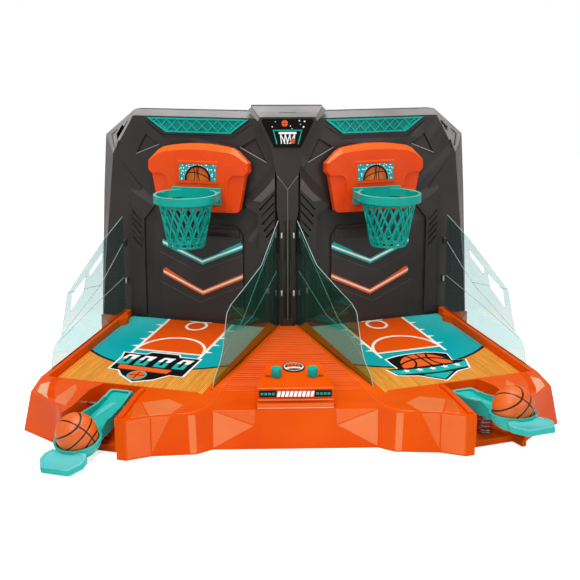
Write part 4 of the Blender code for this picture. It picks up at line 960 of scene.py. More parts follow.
# painted light: the panels' outer sides, lighter than the charcoal, between band and bevel
SIDE_GREY = MouldedAbs("charcoal_abs_satin_side", "#7C7A79", "#6A6867", 0.3, 0.45, 0.01)
# painted highlight: a lighter line on the rims' upper lip
PALE_TEAL = MouldedAbs("teal_abs_polished_lip", "#62D8CC", "#4CC9BC", 0.15, 0.6, 0.003)
# painted shade: the grilles' ground, darkened as if in the shade of the bars
DEEP_TEAL = MouldedAbs("teal_abs_painted_shade", "#0F8C82", "#0B7A72", 0.3, 0.6, 0.006)
# ABS of rims, nets, grilles and knobs: even and glossy
TEAL = MouldedAbs("teal_abs", "#0CB3A5", "#08A597", 0.22, 0.6, 0.006, 0.2)
# the levers' glossier ABS, whose trough shows soft bright patches
LEVER_TEAL = MouldedAbs("teal_abs_gloss", "#2CC2B6", "#20B4A8", 0.14, 0.6, 0.004)
# painted highlight: a paler teal for the scoop's end, a patch in its floor and the tab's border
LEVER_HIGHLIGHT_TEAL = MouldedAbs("teal_abs_painted_highlight", "#64CCCB", "#52BFBF", 0.16, 0.6, 0.004)
# unpolished ABS of the bottom plate, matt
GREY = MouldedAbs("grey_abs", "#585A5E", "#505256", 0.5, 0.5, 0.03)
# plain white ABS with a weak gloss, for tabs and dials
WHITE = MouldedAbs("white_abs", "#F1F0EC", "#E8E7E2", 0.4)
# drawn wire and turned pins: bright with fine lines
STEEL = DrawnSteel()
# clear styrene with a faint green tint: seen through, with mirror streaks at a slant
SHEET = ClearSheet("tinted_styrene", "#DFEAE9", "#4F9A94", 0.06, 1.9)
# the inner sheets' deeper tint, for they are seen nearly edge on
INNER_SHEET = ClearSheet("deep_tinted_styrene", "#B6E8DC", "#0F6F6C", 0.04, 1.95)
# painted highlight: the sheets' cut edges and fold lines, a pale haze standing in for the light they gather
SHEET_EDGE = ClearSheet("tinted_styrene_edge", "#E4F2F0", "#B9CFCC", 0.7, 1.3)
# screen-printed inks: dense and flat, with a slight mottle under a clear lacquer
BLACK_INK = PlainInk("black_ink", "#08080A", "#0F0F11")
WHITE_INK = PlainInk("white_ink", "#FFFFFF", "#F3F5F5")
TEAL_INK = PlainInk("teal_ink", "#22BDB4", "#18ABA4")
PALE_TEAL_INK = PlainInk("pale_teal_ink", "#FFFFFF", "#F2FFFF")
ORANGE_INK = PlainInk("orange_ink", "#F26A2A", "#E95D1E")
PALE_ORANGE_INK = PlainInk("pale_orange_ink", "#FFF3E8", "#FFE6D2")


def dyed(piece: Piece, finish: Finish) -> Piece:
    """Give a piece one finish all over and hand it back.

    Args:
        piece: the mesh object.
        finish: its finish.

    Returns:
        The same piece.
    """
    piece.data.materials.clear()
    piece.data.materials.append(finish.material())
    return piece


def install(piece: Piece, finish: Finish, body: str = "root",
            stands_for: Sequence[str] = ()) -> Piece:
    """Dress a finished piece and fix it to its body.

    Args:
        piece: the finished mesh, in the machine's frame.
        finish: its main finish; other material slots stay.
        body: the CAD body that carries it.
        stands_for: CAD nodes that it replaces.

    Returns:
        The same piece.
    """
    if len(piece.data.materials) < 2:
        dyed(piece, finish)
    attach(piece, body)
    if stands_for:
        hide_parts(*stands_for)
    LOG.info("%s: %d faces on %s", piece.name, len(piece.data.polygons), body)
    return piece


def dress_faces(piece: Piece, finishes: Sequence[Finish], choose: Callable[[Vector, Vector], int]) -> None:
    """Give a piece several finishes, chosen face by face.

    Args:
        piece: the mesh object.
        finishes: its material slots in order.
        choose: from a face's middle in millimetres and its normal, the slot's number.
    """
    piece.data.materials.clear()
    for finish in finishes:
        piece.data.materials.append(finish.material())
    for polygon in piece.data.polygons:
        polygon.material_index = choose(polygon.center / MM, polygon.normal)


def refinish(node: str, finish: Finish) -> None:
    """Give a CAD node that stays its own finish."""
    dyed(bpy.data.objects[node], finish)
    LOG.info("%s: kept, in %s", node, finish.name)


# ---- base
@dataclass(frozen=True)
class Facet:
    """A facet of the base with a painted highlight: its corners on the right half and the highlight's finish.
    """

    corners: tuple[Triple, ...]
    finish: MouldedAbs = BRIGHT_FACET


# facets whose lighter orange is painted highlight
FACETS = (
    Facet(((29.8, -113.3, 30.6), (61.0, -113.3, 30.6), (30.4, -113.3, 18.6))),
    Facet(((61.2, -113.3, 30.2), (61.2, -113.3, 1.2), (31.0, -113.3, 18.2)), PALE_FACET),
    Facet(((73.6, -122.85, 30.2), (79.0, -123.35, 30.2), (78.0, -123.25, 0.8), (72.9, -122.8, 0.8)),
          PALE_FACET),
    Facet(((91.5, -124.5, 30.2), (105.6, -125.75, 30.2), (105.6, -125.75, 2.0))),
    Facet(((106.4, -126.0, 30.2), (122.9, -133.9, 30.2), (122.9, -133.9, 0.8), (106.4, -126.0, 0.8))),
    Facet(((83.6, -101.9, 31.0), (95.5, -86.5, 31.0), (114.5, -94.5, 31.0), (107.0, -125.0, 31.0),
           (91.5, -122.0, 31.0)), PALE_FACET),
    Facet(((115.5, -95.0, 31.0), (121.0, -97.4, 31.0), (119.8, -130.5, 31.0), (108.0, -125.4, 31.0))),
    Facet(((198.3, -63.0, 31.0), (199.0, -44.5, 31.0), (192.3, -37.0, 31.0), (189.6, -69.5, 31.0),
           (186.6, -82.0, 31.0)), SHEEN_FACET),
    Facet(((180.4, -90.3, 31.0), (181.2, -77.9, 31.0), (171.2, -45.0, 31.0), (168.0, -60.0, 31.0),
           (170.8, -99.0, 31.0)), PALE_FACET),
)


@dataclass
class Base:
    """The moulded lower body with its rails, pods and wedge, facets in painted highlight, its plate and
    screws.
    """

    rounding: float = 0.7
    facet_rise: float = 0.35
    facet_sink: float = 0.3
    rib_count: int = 15
    rib_start: Pair = (126.0, 153.0)
    rib_end: Pair = (104.0, 199.0)
    crisp_angle: float = math.radians(30.0)
    deck_z: float = 30.9
    foot_z: float = 0.4      # edges below this lie on the table and stay sharp
    wedge_front: float = -75.0
    wedge_back: float = 58.0
    wedge_half: float = 14.5  # half width of the wedge at y = 56
    wedge_splay: float = 0.392  # widening for each millimetre forwards

    def build(self) -> None:
        """Make every piece of the base."""
        body = from_node("base_moulding", "base_shell")
        for side in Side:
            lane = Lane(side)
            combine(body, self.rail_gusset(lane), "UNION")
            combine(body, self.slot_rim(lane), "UNION")
        self.round_edges(body)
        install(body, ORANGE, stands_for=["base_shell"])
        for side in Side:
            self.facets(side)
            self.grip_ribs(Lane(side))
            self.dish_bead(side)
        refinish("base_bottom_plate", GREY)
        for number in range(1, 7):
            self.screw(number)

    def round_edges(self, body: Piece) -> None:
        """Round every crisp edge but the wedge's fine ribs, which are too close together.

        Args:
            body: the base's mesh.
        """
        edit(body, "EDGE")
        mesh = bmesh.from_edit_mesh(body.data)
        for edge in mesh.edges:
            middle = (edge.verts[0].co + edge.verts[1].co) / 2 / MM
            crisp = len(edge.link_faces) == 2 and edge.calc_face_angle() > self.crisp_angle
            edge.select_set(crisp and not self.on_ribs(middle) and middle.z > self.foot_z)
        bmesh.update_edit_mesh(body.data)
        bpy.ops.mesh.bevel(offset=self.rounding * MM, segments=3, clamp_overlap=True, miter_outer="ARC")
        done()
        apply(body, "TRIANGULATE", min_vertices=5)
        smooth(body)
        apply(body, "WEIGHTED_NORMAL", keep_sharp=True, weight=80)

    def on_ribs(self, place: Vector) -> bool:
        """Whether a place in millimetres lies on the wedge's fine ribs."""
        half = self.wedge_half + (56.0 - place.y) * self.wedge_splay
        return self.wedge_front < place.y < self.wedge_back and abs(place.x) < half and place.z > 28.0

    def facets(self, side: Side) -> None:
        """Flat facets on the front walls and decks, whose lighter orange is painted highlight.

        Args:
            side: the half they lie on.
        """
        parts = []
        for shape in FACETS:
            corners = spots(shape.corners, side.value)
            normal = (corners[1] - corners[0]).cross(corners[2] - corners[0]).normalized()
            out = normal if normal.dot(Vector((0.0, -1.0, 1.0))) > 0 else -normal
            sunk = [corner - out * self.facet_sink * MM for corner in corners]
            solid = prism("facet", sunk, out * (self.facet_rise + self.facet_sink) * MM)
            apply(solid, "BEVEL", width=0.2 * MM, segments=1, limit_method="ANGLE")
            parts.append(dyed(solid, shape.finish))
        install(smooth(joined(f"polished_facets_{side.label}", parts)), BRIGHT_FACET)

    def rail_gusset(self, lane: Lane) -> Piece:
        """The small widening of an outer rail near the back panel.

        Args:
            lane: the rail's lane.

        Returns:
            The solid, in the machine's frame.
        """
        outline = [(134.9, 11.0), (130.0, 17.0), (130.0, 21.0), (134.9, 27.5), (137.0, 27.5), (137.0, 11.0)]
        thing = plate("rail_gusset", outline, 44.5, 52.0, Across.Z)
        for vertex in thing.data.vertices:
            over = 6.3 if vertex.co.z > 48.0 * MM else 0.2
            vertex.co.z = (lane.court_z(vertex.co.y / MM) + over) * MM
        return lane.place(thing)

    def slot_rim(self, lane: Lane) -> Piece:
        """The raised rim along the inner edge of the launcher's slot."""
        outline = [(47.0, 160.0), (45.1, 174.6), (32.4, 227.6), (28.4, 226.6), (41.2, 174.0), (43.2, 160.0)]
        return lane.place(plate("slot_rim", outline, 29.0, 33.0, Across.Z))

    def grip_ribs(self, lane: Lane) -> None:
        """The row of short ribs on the pod's outer top.

        Args:
            lane: the pod's lane.
        """
        ribs = []
        for number in range(self.rib_count):
            share = number / (self.rib_count - 1)
            u = self.rib_start[0] + (self.rib_end[0] - self.rib_start[0]) * share ** 1.3
            v = self.rib_start[1] + (self.rib_end[1] - self.rib_start[1]) * share
            rib = block("rib", (6.0, 1.1, 1.4), (u, v, 31.0))
            ribs.append(apply(rib, "BEVEL", width=0.4 * MM, segments=2))
        install(smooth(lane.place(joined(f"grip_ribs_{lane.name}", ribs))), ORANGE)

    def dish_bead(self, side: Side) -> None:
        """A bead along the rounded lip of the deck in front of a court, its lighter orange a painted
        highlight.

        Args:
            side: the half it lies on.
        """
        path = [(56.4, -66.0), (57.6, -76.0), (59.6, -86.0), (62.6, -97.0), (67.0, -108.0), (72.0, -115.6),
                (78.6, -120.6), (87.0, -122.8)]
        points = spots([(x, y, self.deck_z) for x, y in path], side.value)
        bead = tube(f"dish_bead_{side.label}", points, 0.75)
        install(bead, BRIGHT_FACET)

    def screw(self, number: int) -> None:
        """A cross-headed screw in the bottom plate.

        Args:
            number: the CAD screw's number.
        """
        node = f"base_screw_{number}"
        low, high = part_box(node)
        middle = (low + high) / 2 / MM
        screw = from_node(f"bottom_screw_{number}", node)
        for turn in (0.0, math.pi / 2):
            slot = block("driver_slot", (3.4, 0.7, 0.9), (middle.x, middle.y, low.z / MM),
                         Euler((0.0, 0.0, turn)))
            combine(screw, slot, "DIFFERENCE")
        soften(screw, 0.12, 1)
        install(screw, STEEL, stands_for=[node])


# ---- court
@dataclass
class Court:
    """A lane's printed court and the emblem on it."""

    lane: Lane
    emblem_middle: float = 65.6

    def build(self) -> None:
        """Finish the sheet and lay the emblem."""
        name = self.lane.name
        refinish(f"court_{name}", CourtPrint(f"court_print_{name}", self.lane))
        layers = self.ball_emblem() if self.lane.side is Side.RIGHT else self.block_emblem()
        parts = []
        for height, (outline, finish) in enumerate(layers):
            parts.append(self.decal(outline, 0.05 + 0.05 * height, finish))
        emblem = joined(f"court_emblem_{name}", parts)
        install(emblem, BLACK_INK)

    def decal(self, outline: Points, height: float, finish: Finish) -> Piece:
        """One ink layer of the emblem, lying on the sloping court.

        Args:
            outline: (u from the emblem's middle, v) in millimetres.
            height: of its face over the court.
            finish: its ink.

        Returns:
            The layer, in the machine's frame.
        """
        thing = plate("decal", [(self.emblem_middle + u, v) for u, v in outline], 0.0, 1.0, Across.Z)
        for vertex in thing.data.vertices:
            over = height if vertex.co.z > 0.5 * MM else -0.2
            vertex.co.z = (self.lane.court_z(vertex.co.y / MM) + over) * MM
        return self.lane.place(dyed(thing, finish))

    def ball_emblem(self) -> list[tuple[Points, Finish]]:
        """A ball over a plain banner, with no lettering.

        Returns:
            The ink layers from the lowest up, each with its outline.
        """
        shield = [(-30.5, 83.5), (-20.0, 80.0), (-10.0, 78.4), (0.0, 78.0), (10.0, 78.4), (20.0, 81.0),
                  (29.0, 86.0), (26.0, 100.0), (38.5, 101.5), (32.5, 118.5), (18.5, 121.5), (0.0, 136.0),
                  (-18.5, 121.5), (-36.0, 116.5), (-40.0, 103.0), (-29.5, 103.5)]
        smaller = [(u * 0.955, 104.0 + (v - 104.0) * 0.945) for u, v in shield]
        ball = disc(0.0, 104.0, 23.2, 41, 178.0, 362.0)
        banner = [(-37.2, 105.2), (-30.0, 107.5), (0.0, 109.6), (30.0, 106.6), (36.4, 103.4), (31.6, 115.6),
                  (0.0, 118.6), (-33.6, 115.0)]
        tip = [(-14.0, 121.2), (14.0, 121.2), (0.0, 132.2)]
        layers: list[tuple[Points, Finish]] = [(shield, WHITE_INK), (smaller, BLACK_INK), (ball, ORANGE_INK)]
        seams = [
            [(-0.8, 81.0), (0.9, 81.0), (4.2, 106.0), (2.2, 106.0)],
            arc_band(-24.0, 92.0, 17.0, 0.9, -38.0, 62.0),
            arc_band(24.0, 92.0, 17.0, 0.9, 118.0, 222.0),
            arc_band(0.0, 126.0, 36.0, 0.9, 230.0, 310.0),
        ]
        layers += [(seam, BLACK_INK) for seam in seams]
        layers += [(banner, TEAL_INK), (tip, TEAL_INK)]
        layers += [(self.star(u, 111.8 - abs(u) * 0.05, 3.4), WHITE_INK) for u in (-24, -12, 0, 12, 24)]
        return layers

    def block_emblem(self) -> list[tuple[Points, Finish]]:
        """A dark badge with notched blocks and a small ball, with no lettering.

        Returns:
            The ink layers from the lowest up, each with its outline.
        """
        shield = [(-35.0, 78.0), (-15.5, 78.0), (-12.5, 73.0), (13.5, 73.0), (16.5, 78.0), (38.5, 78.0),
                  (36.0, 88.0), (36.0, 112.5), (26.0, 114.0), (20.0, 122.0), (4.0, 133.5), (-12.0, 126.0),
                  (-22.0, 114.5), (-34.0, 115.0)]
        smaller = [(0.5 + (u - 0.5) * 0.95, 102.0 + (v - 102.0) * 0.94) for u, v in shield]
        layers: list[tuple[Points, Finish]] = [(shield, WHITE_INK), (smaller, BLACK_INK)]
        for u in (-30.0, -13.0, 4.5, 20.0):
            white = [(u, 83.0), (u + 10.5, 83.0), (u + 13.0, 91.5), (u + 2.0, 91.5)]
            teal = oblong(u + 2.2, u + 13.2, 92.2, 102.0)
            notch = [(u + 5.5, 86.5), (u + 8.5, 86.5), (u + 9.5, 98.5), (u + 6.5, 98.5)]
            layers += [(white, WHITE_INK), (teal, TEAL_INK), (notch, BLACK_INK)]
        layers.append(([(-19.5, 106.0), (29.0, 104.0), (27.5, 111.0), (-18.0, 112.5)], ORANGE_INK))
        layers += [(disc(5.0, 121.0, 8.4), TEAL_INK), (disc(5.0, 121.0, 7.2), ORANGE_INK),
                   (oblong(4.5, 5.4, 114.0, 128.0), BLACK_INK), (oblong(-2.0, 12.0, 120.6, 121.5), BLACK_INK)]
        return layers

    @staticmethod
    def star(u: float, v: float, radius: float) -> Points:
        """A five-pointed star that points to the back."""
        return [(u + radius * (1.0 if i % 2 == 0 else 0.42) * math.sin(i * math.pi / 5),
                 v - radius * (1.0 if i % 2 == 0 else 0.42) * math.cos(i * math.pi / 5)) for i in range(10)]


# ---- back panels
@dataclass
class Panel:
    """A back panel: body with facets and vents, grille, chevrons, rear cover."""

    lane: Lane
    rounding: float = 0.45
    column_v: float = 2.5
    grille_bars: int = 10
    grille_pitch: float = 9.7
    slat_half: float = 0.75
    slat_lines: tuple[tuple[Pair, Pair], ...] = (
        ((6.6, 152.0), (-7.0, 166.6)), ((5.2, 146.0), (-7.0, 159.0)), ((4.4, 139.6), (-7.0, 152.0)),
        ((2.6, 133.8), (-7.0, 144.6)), ((0.4, 128.6), (-7.0, 137.2)))

    def build(self) -> None:
        """Make every piece of the panel."""
        name = self.lane.name
        body = from_node(f"panel_{name}", f"back_panel_{name}")
        for tool in self.facets():
            combine(body, self.lane.place(tool), "UNION")
        for tool in self.recesses():
            combine(body, self.lane.place(tool), "DIFFERENCE")
        fin = [(12.6, 160.2), (2.8, 168.9), (-7.4, 181.0), (-7.4, 170.4), (4.6, 159.4)]
        combine(body, self.lane.place(plate("fin", fin, 4.0, 5.45, Across.V)), "UNION")
        soften(body, self.rounding, shade=11.0)
        self.dress_bevels(body)
        install(body, CHARCOAL, stands_for=[f"back_panel_{name}"])
        self.polished_edges()
        self.grille()
        self.chevron("upper", TEAL_INK, PALE_TEAL_INK, 101.4)
        self.chevron("lower", ORANGE_INK, PALE_ORANGE_INK, 73.4)
        self.rear_cover()

    def dress_bevels(self, body: Piece) -> None:
        """Paint highlights onto the top bevel, the raised bands and the outer side, as lighter greys chosen
        by each face's place and facing.

        Args:
            body: the panel's finished mesh, in the machine's frame.
        """
        back = self.lane.matrix().inverted()

        def choose(place: Vector, normal: Vector) -> int:
            """The slot of plain face 0, bevel 1, band 2 or outer side 3.

            Args:
                place: the face's middle, in millimetres.
                normal: its normal.

            Returns:
                The slot.
            """
            spot, way = back @ (place * MM) / MM, back.to_3x3() @ normal
            if spot.y > 5.2 and way.y > 0.9:
                return 2
            if way.y < 0.15 or spot.y > -0.01:
                return 0
            if way.x > 0.2 and spot.x > 125.0:
                return 1 if spot.z > 204.0 else 3
            return 1 if way.z > 0.3 and spot.z > 205.0 else 0

        dress_faces(body, (CHARCOAL, BEVEL_GREY, BAND_GREY, SIDE_GREY), choose)

    def facets(self) -> list[Piece]:
        """Broad chamfers and shallow planes that break up the panel's face.

        Returns:
            Solids to add, in lane coordinates.
        """
        inner_slope = [(-7.4, 181.6, 5.0), (3.0, 169.0, 5.0), (19.3, 154.3, 5.0), (24.5, 159.5, 0.0),
                       (8.5, 176.0, 0.0), (-7.4, 193.0, 0.0)]
        outer_slope = [(109.0, 150.0, 2.5), (131.0, 164.0, 2.5), (131.0, 172.5, 0.0), (104.5, 156.0, 0.0)]
        wing = [(146.0, 195.0, 0.0), (152.6, 156.0, 0.0), (133.0, 153.0, 0.0), (121.0, 166.0, 1.5)]
        ledge = [(26.0, 126.6, 3.4), (100.0, 126.6, 3.4), (98.5, 133.4, 3.4), (27.5, 133.4, 3.4)]
        slat_ground = [(-7.25, 119.7), (7.8, 119.7), (7.8, 147.7), (11.3, 151.6), (-7.25, 168.3)]
        return [facet("inner_slope", inner_slope), facet("outer_slope", outer_slope),
                facet("wing", wing), facet("ledge", ledge),
                plate("slat_ground", slat_ground, 2.03, 5.06, Across.V)]

    def recesses(self) -> list[Piece]:
        """The channel under the grille, the corner pocket and the slanted vents.

        Returns:
            Solids to cut away, in lane coordinates.
        """
        under = [(13.0, 227.0), (17.0, 224.0), (33.5, 214.6), (97.5, 214.6), (115.0, 225.0), (118.5, 227.0),
                 (98.8, 211.6), (32.2, 211.6)]
        pocket = [(137.0, 219.5), (145.5, 208.0), (146.5, 213.0), (140.5, 221.5)]
        slats = []
        for start, end in self.slat_lines:
            along = (Vector(end) - Vector(start)).normalized()
            side = Vector((-along.y, along.x)) * self.slat_half
            corners = [Vector(start) - side, Vector(end) - side, Vector(end) + side, Vector(start) + side]
            slats.append(plate("slat", [tuple(c) for c in corners], 1.6, 8.0, Across.V))
        return [plate("under_grille", under, -1.3, 5.0, Across.V),
                plate("pocket", pocket, -9.0, 3.0, Across.V), *slats]

    def polished_edges(self) -> None:
        """Painted highlight lines along the bevels and marks, and painted shade strips beside the bevels."""
        lane, name = self.lane, self.lane.name
        lips = [((1.8, 192.8), (26.0, 205.0)), ((103.2, 205.4), (126.0, 196.6)),
                ((22.0, 111.4), (67.0, 93.2)), ((67.0, 93.2), (104.0, 109.6)),
                ((20.0, 84.5), (66.0, 65.4)), ((66.0, 65.4), (105.0, 82.6))]
        painted_shade_strips = [((25.0, 204.6, -0.1), (12.0, 212.2, -0.1), (2.0, 193.0, -0.1)),
                   ((104.0, 205.3, -0.1), (116.0, 214.2, -0.1), (126.0, 196.8, -0.1)),
                   ((34.0, 216.4, -0.1), (17.5, 227.6, -0.1)), ((96.6, 216.4, -0.1), (114.0, 228.0, -0.1)),
                   ((134.0, 225.0, -1.1), (141.0, 216.0, -1.7)),
                   ((146.0, 217.0, -3.9), (152.0, 212.0, -5.0), (148.0, 202.0, -1.1))]
        parts = []
        for number, (start, end) in enumerate(lips):
            v, radius, finish = (0.0, 0.36, PALE_EDGE) if number < 2 else (2.2, 0.24, BAND_GREY)
            path = [Across.V.point(u, z, v) for u, z in (start, end)]
            parts.append(dyed(tube("highlight_lip", path, radius, sides=1), finish))
        for line in painted_shade_strips:
            parts.append(dyed(tube("painted_shade_strip", [Across.V.point(*spot) for spot in line], 0.4, sides=1), PAINTED_SHADE))
        install(lane.place(joined(f"panel_lips_{name}", parts)), PALE_EDGE)

    def grille(self) -> None:
        """The teal insert with its border and crossed bars."""
        name = self.lane.name
        outer = [(17.7, 229.0), (34.7, 216.5), (96.1, 216.5), (114.1, 229.0)]
        inner = [(22.4, 227.6), (35.4, 217.9), (95.4, 217.9), (109.4, 227.6)]
        frame = plate("grille_frame", outer, -1.1, 1.2, Across.V)
        combine(frame, plate("grille_window", inner, -3.0, 3.0, Across.V), "DIFFERENCE")
        for number in range(self.grille_bars):
            for lean in (-1, 1):
                bar = block("grille_bar", (19.0, 1.4, 0.95), (22.3 + number * self.grille_pitch, 0.0, 222.8),
                            Euler((0.0, lean * math.radians(45.0), 0.0)))
                combine(bar, plate("grille_keep", inner, -0.9, 0.8, Across.V), "INTERSECT")
                combine(frame, bar, "UNION")
        apply(frame, "BEVEL", width=0.15 * MM, segments=1, limit_method="ANGLE")
        # the ground behind the bars is a darker teal, painted shade of the bars
        ground = dyed(plate("grille_ground", inner, -1.1, -0.6, Across.V), DEEP_TEAL)
        whole = self.lane.place(joined(f"grille_{name}", [dyed(frame, TEAL), ground]))
        install(smooth(whole), TEAL, stands_for=[f"panel_grille_{name}"])

    def chevron(self, label: str, edge: Finish, light: Finish, tip_z: float) -> None:
        """A chevron strip with its pale inlay.

        Args:
            label: upper or lower.
            edge: ink of the strip.
            light: ink of the inlay.
            tip_z: height of the chevron's lower point.
        """
        name = self.lane.name
        middle, half, rise = 62.1, 38.5, 16.0 if label == "upper" else 17.2
        front = self.column_v + 0.6
        broad = 5.4
        left, right, end_z = middle - half, middle + half, tip_z + rise
        strip = [(left, end_z - 1.2), (middle, tip_z - 1.2), (right, end_z - 1.2),
                 (right, end_z + broad - 1.6), (middle, tip_z + 3.4), (left, end_z + broad - 1.6)]
        step_u = (-1 if label == "upper" else 1) * 16.0
        step = [(middle + step_u, tip_z + 10.6), (middle + step_u * 1.3, tip_z + 13.4),
                (middle + step_u * 2.3, end_z + 4.8), (middle + step_u * 2.3, end_z)]
        inlay = [(left, end_z + 0.5), (middle, tip_z + 0.6), (right, end_z + 0.5),
                 (right, end_z + 2.3), (middle, tip_z + 2.4), (left, end_z + 2.3)]
        base = plate("strip", strip, self.column_v - 0.4, front, Across.V)
        combine(base, plate("strip_step", step, self.column_v - 0.4, front, Across.V), "UNION")
        line = dyed(plate("inlay", inlay, self.column_v, front + 0.15, Across.V), light)
        whole = self.lane.place(joined(f"chevron_strip_{label}_{name}", [dyed(base, edge), line]))
        install(whole, edge, stands_for=[f"chevron_{label}_{name}"])

    def rear_cover(self) -> None:
        """The rear plate with a raised field, louvres and screws."""
        lane, name = self.lane, self.lane.name
        cover = from_node(f"back_cover_{name}", f"rear_cover_{name}")
        back = -22.0
        field = [(8.0, 58.0), (8.0, 222.0), (120.0, 222.0), (140.0, 200.0), (148.0, 150.0), (152.0, 58.0)]
        raised = plate("field", field, back - 0.9, back + 0.6, Across.V)
        combine(cover, lane.place(raised), "UNION")
        for number in range(6):
            louvre = block("louvre", (60.0, 1.2, 2.4), (74.0, back - 0.9, 150.0 + number * 8.0))
            combine(cover, lane.place(louvre), "DIFFERENCE")
        soften(cover, 0.35, 1)
        install(cover, CHARCOAL, stands_for=[f"rear_cover_{name}"])
        heads = []
        for u, z in ((2.0, 52.0), (2.0, 228.0), (128.0, 228.0), (158.0, 60.0), (155.0, 140.0)):
            heads.append(self.screw_head(u, back, z))
        screws = lane.place(joined(f"cover_screws_{name}", heads))
        install(smooth(screws), STEEL)

    @staticmethod
    def screw_head(u: float, v: float, z: float) -> Piece:
        """A pan head with a cross slot, seen from behind.

        Args:
            u: its place along the panel.
            v: the cover's outer face.
            z: its height.

        Returns:
            The head, in lane coordinates.
        """
        head = primitive("screw_head", bpy.ops.mesh.primitive_cylinder_add, vertices=24, radius=2.4 * MM,
                         depth=1.0 * MM, location=Across.V.point(u, z, v - 0.2),
                         rotation=(math.pi / 2, 0, 0))
        bpy.ops.object.transform_apply()
        for size in ((3.0, 0.6, 0.6), (0.6, 0.6, 3.0)):
            combine(head, block("cross", size, (u, v - 0.7, z)), "DIFFERENCE")
        return apply(head, "BEVEL", width=0.2 * MM, segments=2, limit_method="ANGLE")


# ---- spine
@dataclass
class Spine:
    """The keyed spine between the panels, with its cap and picture."""

    def build(self) -> None:
        """Make the spine and finish its picture."""
        body = from_node("spine_moulding", "centre_spine")
        notch = [(64.68, 235.7), (64.88, 236.3), (65.7, 236.75), (60.0, 237.5), (60.0, 235.7)]
        cut = prism("notch", spots([(-8.0, y, z) for y, z in notch]), Vector((16.0, 0.0, 0.0)) * MM)
        combine(body, cut, "DIFFERENCE")
        for end in (-1, 1):
            combine(body, self.wing(end), "UNION")
            combine(body, self.cap_side(end), "UNION")
        soften(body, 0.35, shade=12.0)
        # painted highlight: the cap's upper bevels in light grey
        dress_faces(body, (CHARCOAL, BEVEL_GREY),
                    lambda place, normal: int(place.z > 227.5 and normal.y < -0.1
                                              and (normal.z > 0.12 or abs(place.x) > 24.0)))
        install(body, CHARCOAL, stands_for=["centre_spine"])
        self.creases()
        self.picture()

    def creases(self) -> None:
        """Painted highlight lines down the keel's crease and its two arms, and painted shade strips beside
        it.
        """
        parts = []
        for line in (((0.0, 60.25, 56.0), (0.0, 60.25, 170.8)), ((0.0, 60.3, 170.8), (9.0, 62.3, 182.4)),
                     ((0.0, 60.3, 170.8), (-9.0, 62.3, 182.4))):
            parts.append(dyed(tube("crease_highlight", spots(line), 0.34, sides=1), CREASE_GREY))
        for end in (-1, 1):
            painted_shade_strip = [(0.9, 60.5, 145.0), (3.8, 61.4, 143.0), (3.8, 61.7, 57.0), (0.9, 60.5, 57.0)]
            parts.append(dyed(prism("painted_shade_strip", spots(painted_shade_strip, end), Vector((0.0, 0.8, 0.0)) * MM), PAINTED_SHADE))
        install(joined("spine_creases", parts), CREASE_GREY)

    def wing(self, end: int) -> Piece:
        """Half of the keel down the spine's front, highest along the middle.

        Args:
            end: 1 for the right half, -1 for the left.

        Returns:
            The half.
        """
        outline = [(0.0, 170.6), (9.3, 182.6), (9.3, 152.0), (7.0, 141.0), (5.6, 56.0), (0.0, 56.0)]
        half = prism("wing", spots([(x, 64.0, z) for x, z in outline], end), Vector((0.0, -1.4, 0.0)) * MM)
        for vertex in half.data.vertices:
            if vertex.co.y < 63.0 * MM and abs(vertex.co.x) < MM:
                vertex.co.y = 60.3 * MM
        return half

    def cap_side(self, end: int) -> Piece:
        """The slanted facet at an end of the cap."""
        corners = [(30.0, 73.0, 240.4), (34.0, 77.4, 236.6), (25.4, 66.4, 228.4), (23.0, 62.9, 231.3)]
        return prism("cap_side", spots(corners, end), Vector((-end * 1.5, 4.0, 0.0)) * MM)

    def picture(self) -> None:
        """A plain hoop, net and balls on black, in place of the figures."""
        low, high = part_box("picture_plate")
        front = low.y / MM
        middle = (low.z + high.z) / 2 / MM
        parts = [dyed(from_node("picture_ground", "picture_plate"), BLACK_INK)]
        board = [(-9.5, middle - 9.0), (9.5, middle - 9.0), (12.5, middle + 3.0), (-12.5, middle + 3.0)]
        field = [(-8.5, middle - 9.0), (8.5, middle - 9.0), (11.6, middle + 2.2), (-11.6, middle + 2.2)]
        rim = oblong(-7.6, 7.6, middle + 1.2, middle - 0.6)
        drawings: list[tuple[Points, Finish]] = [(board, TEAL_INK), (field, BLACK_INK), (rim, WHITE_INK)]
        top, bottom = middle - 0.6, middle - 8.8
        for x in (-6.0, -2.0, 2.0, 6.0):
            for lean in (-1, 1):
                foot = x * 0.6 + lean * 1.6
                strand = [(x - 0.45, top), (x + 0.45, top), (foot + 0.45, bottom), (foot - 0.45, bottom)]
                drawings.append((strand, WHITE_INK))
        thin = 0.15
        for x, rise, radius in ((-2.4, 8.4, 3.0), (4.6, -6.6, 2.2)):
            z = middle + rise
            upright = oblong(x - thin, x + thin, z - radius, z + radius)
            level = oblong(x - radius, x + radius, z - thin, z + thin)
            drawings += [(disc(x, z, radius, 30), ORANGE_INK),
                         (arc_band(x, z, radius * 0.96, 0.16, 0.0, 359.0, 30), BLACK_INK),
                         (upright, BLACK_INK), (level, BLACK_INK)]
        drawings += [(disc(x, middle + z, r, 10), WHITE_INK)
                     for x, z, r in ((10.0, 10.6, 0.6), (14.4, 10.0, 0.7), (13.6, 5.4, 0.8), (11.0, 7.6, 0.4),
                                     (2.4, 6.2, 0.5), (3.8, 4.0, 0.4), (-13.0, 5.6, 0.5), (-10.4, 9.8, 0.4))]
        for number, (outline, finish) in enumerate(drawings):
            lift = 0.03 + 0.012 * number
            parts.append(dyed(plate("drawing", outline, front - lift, front + 0.2, Across.V), finish))
        install(joined("picture_print", parts), BLACK_INK, stands_for=["picture_plate"])


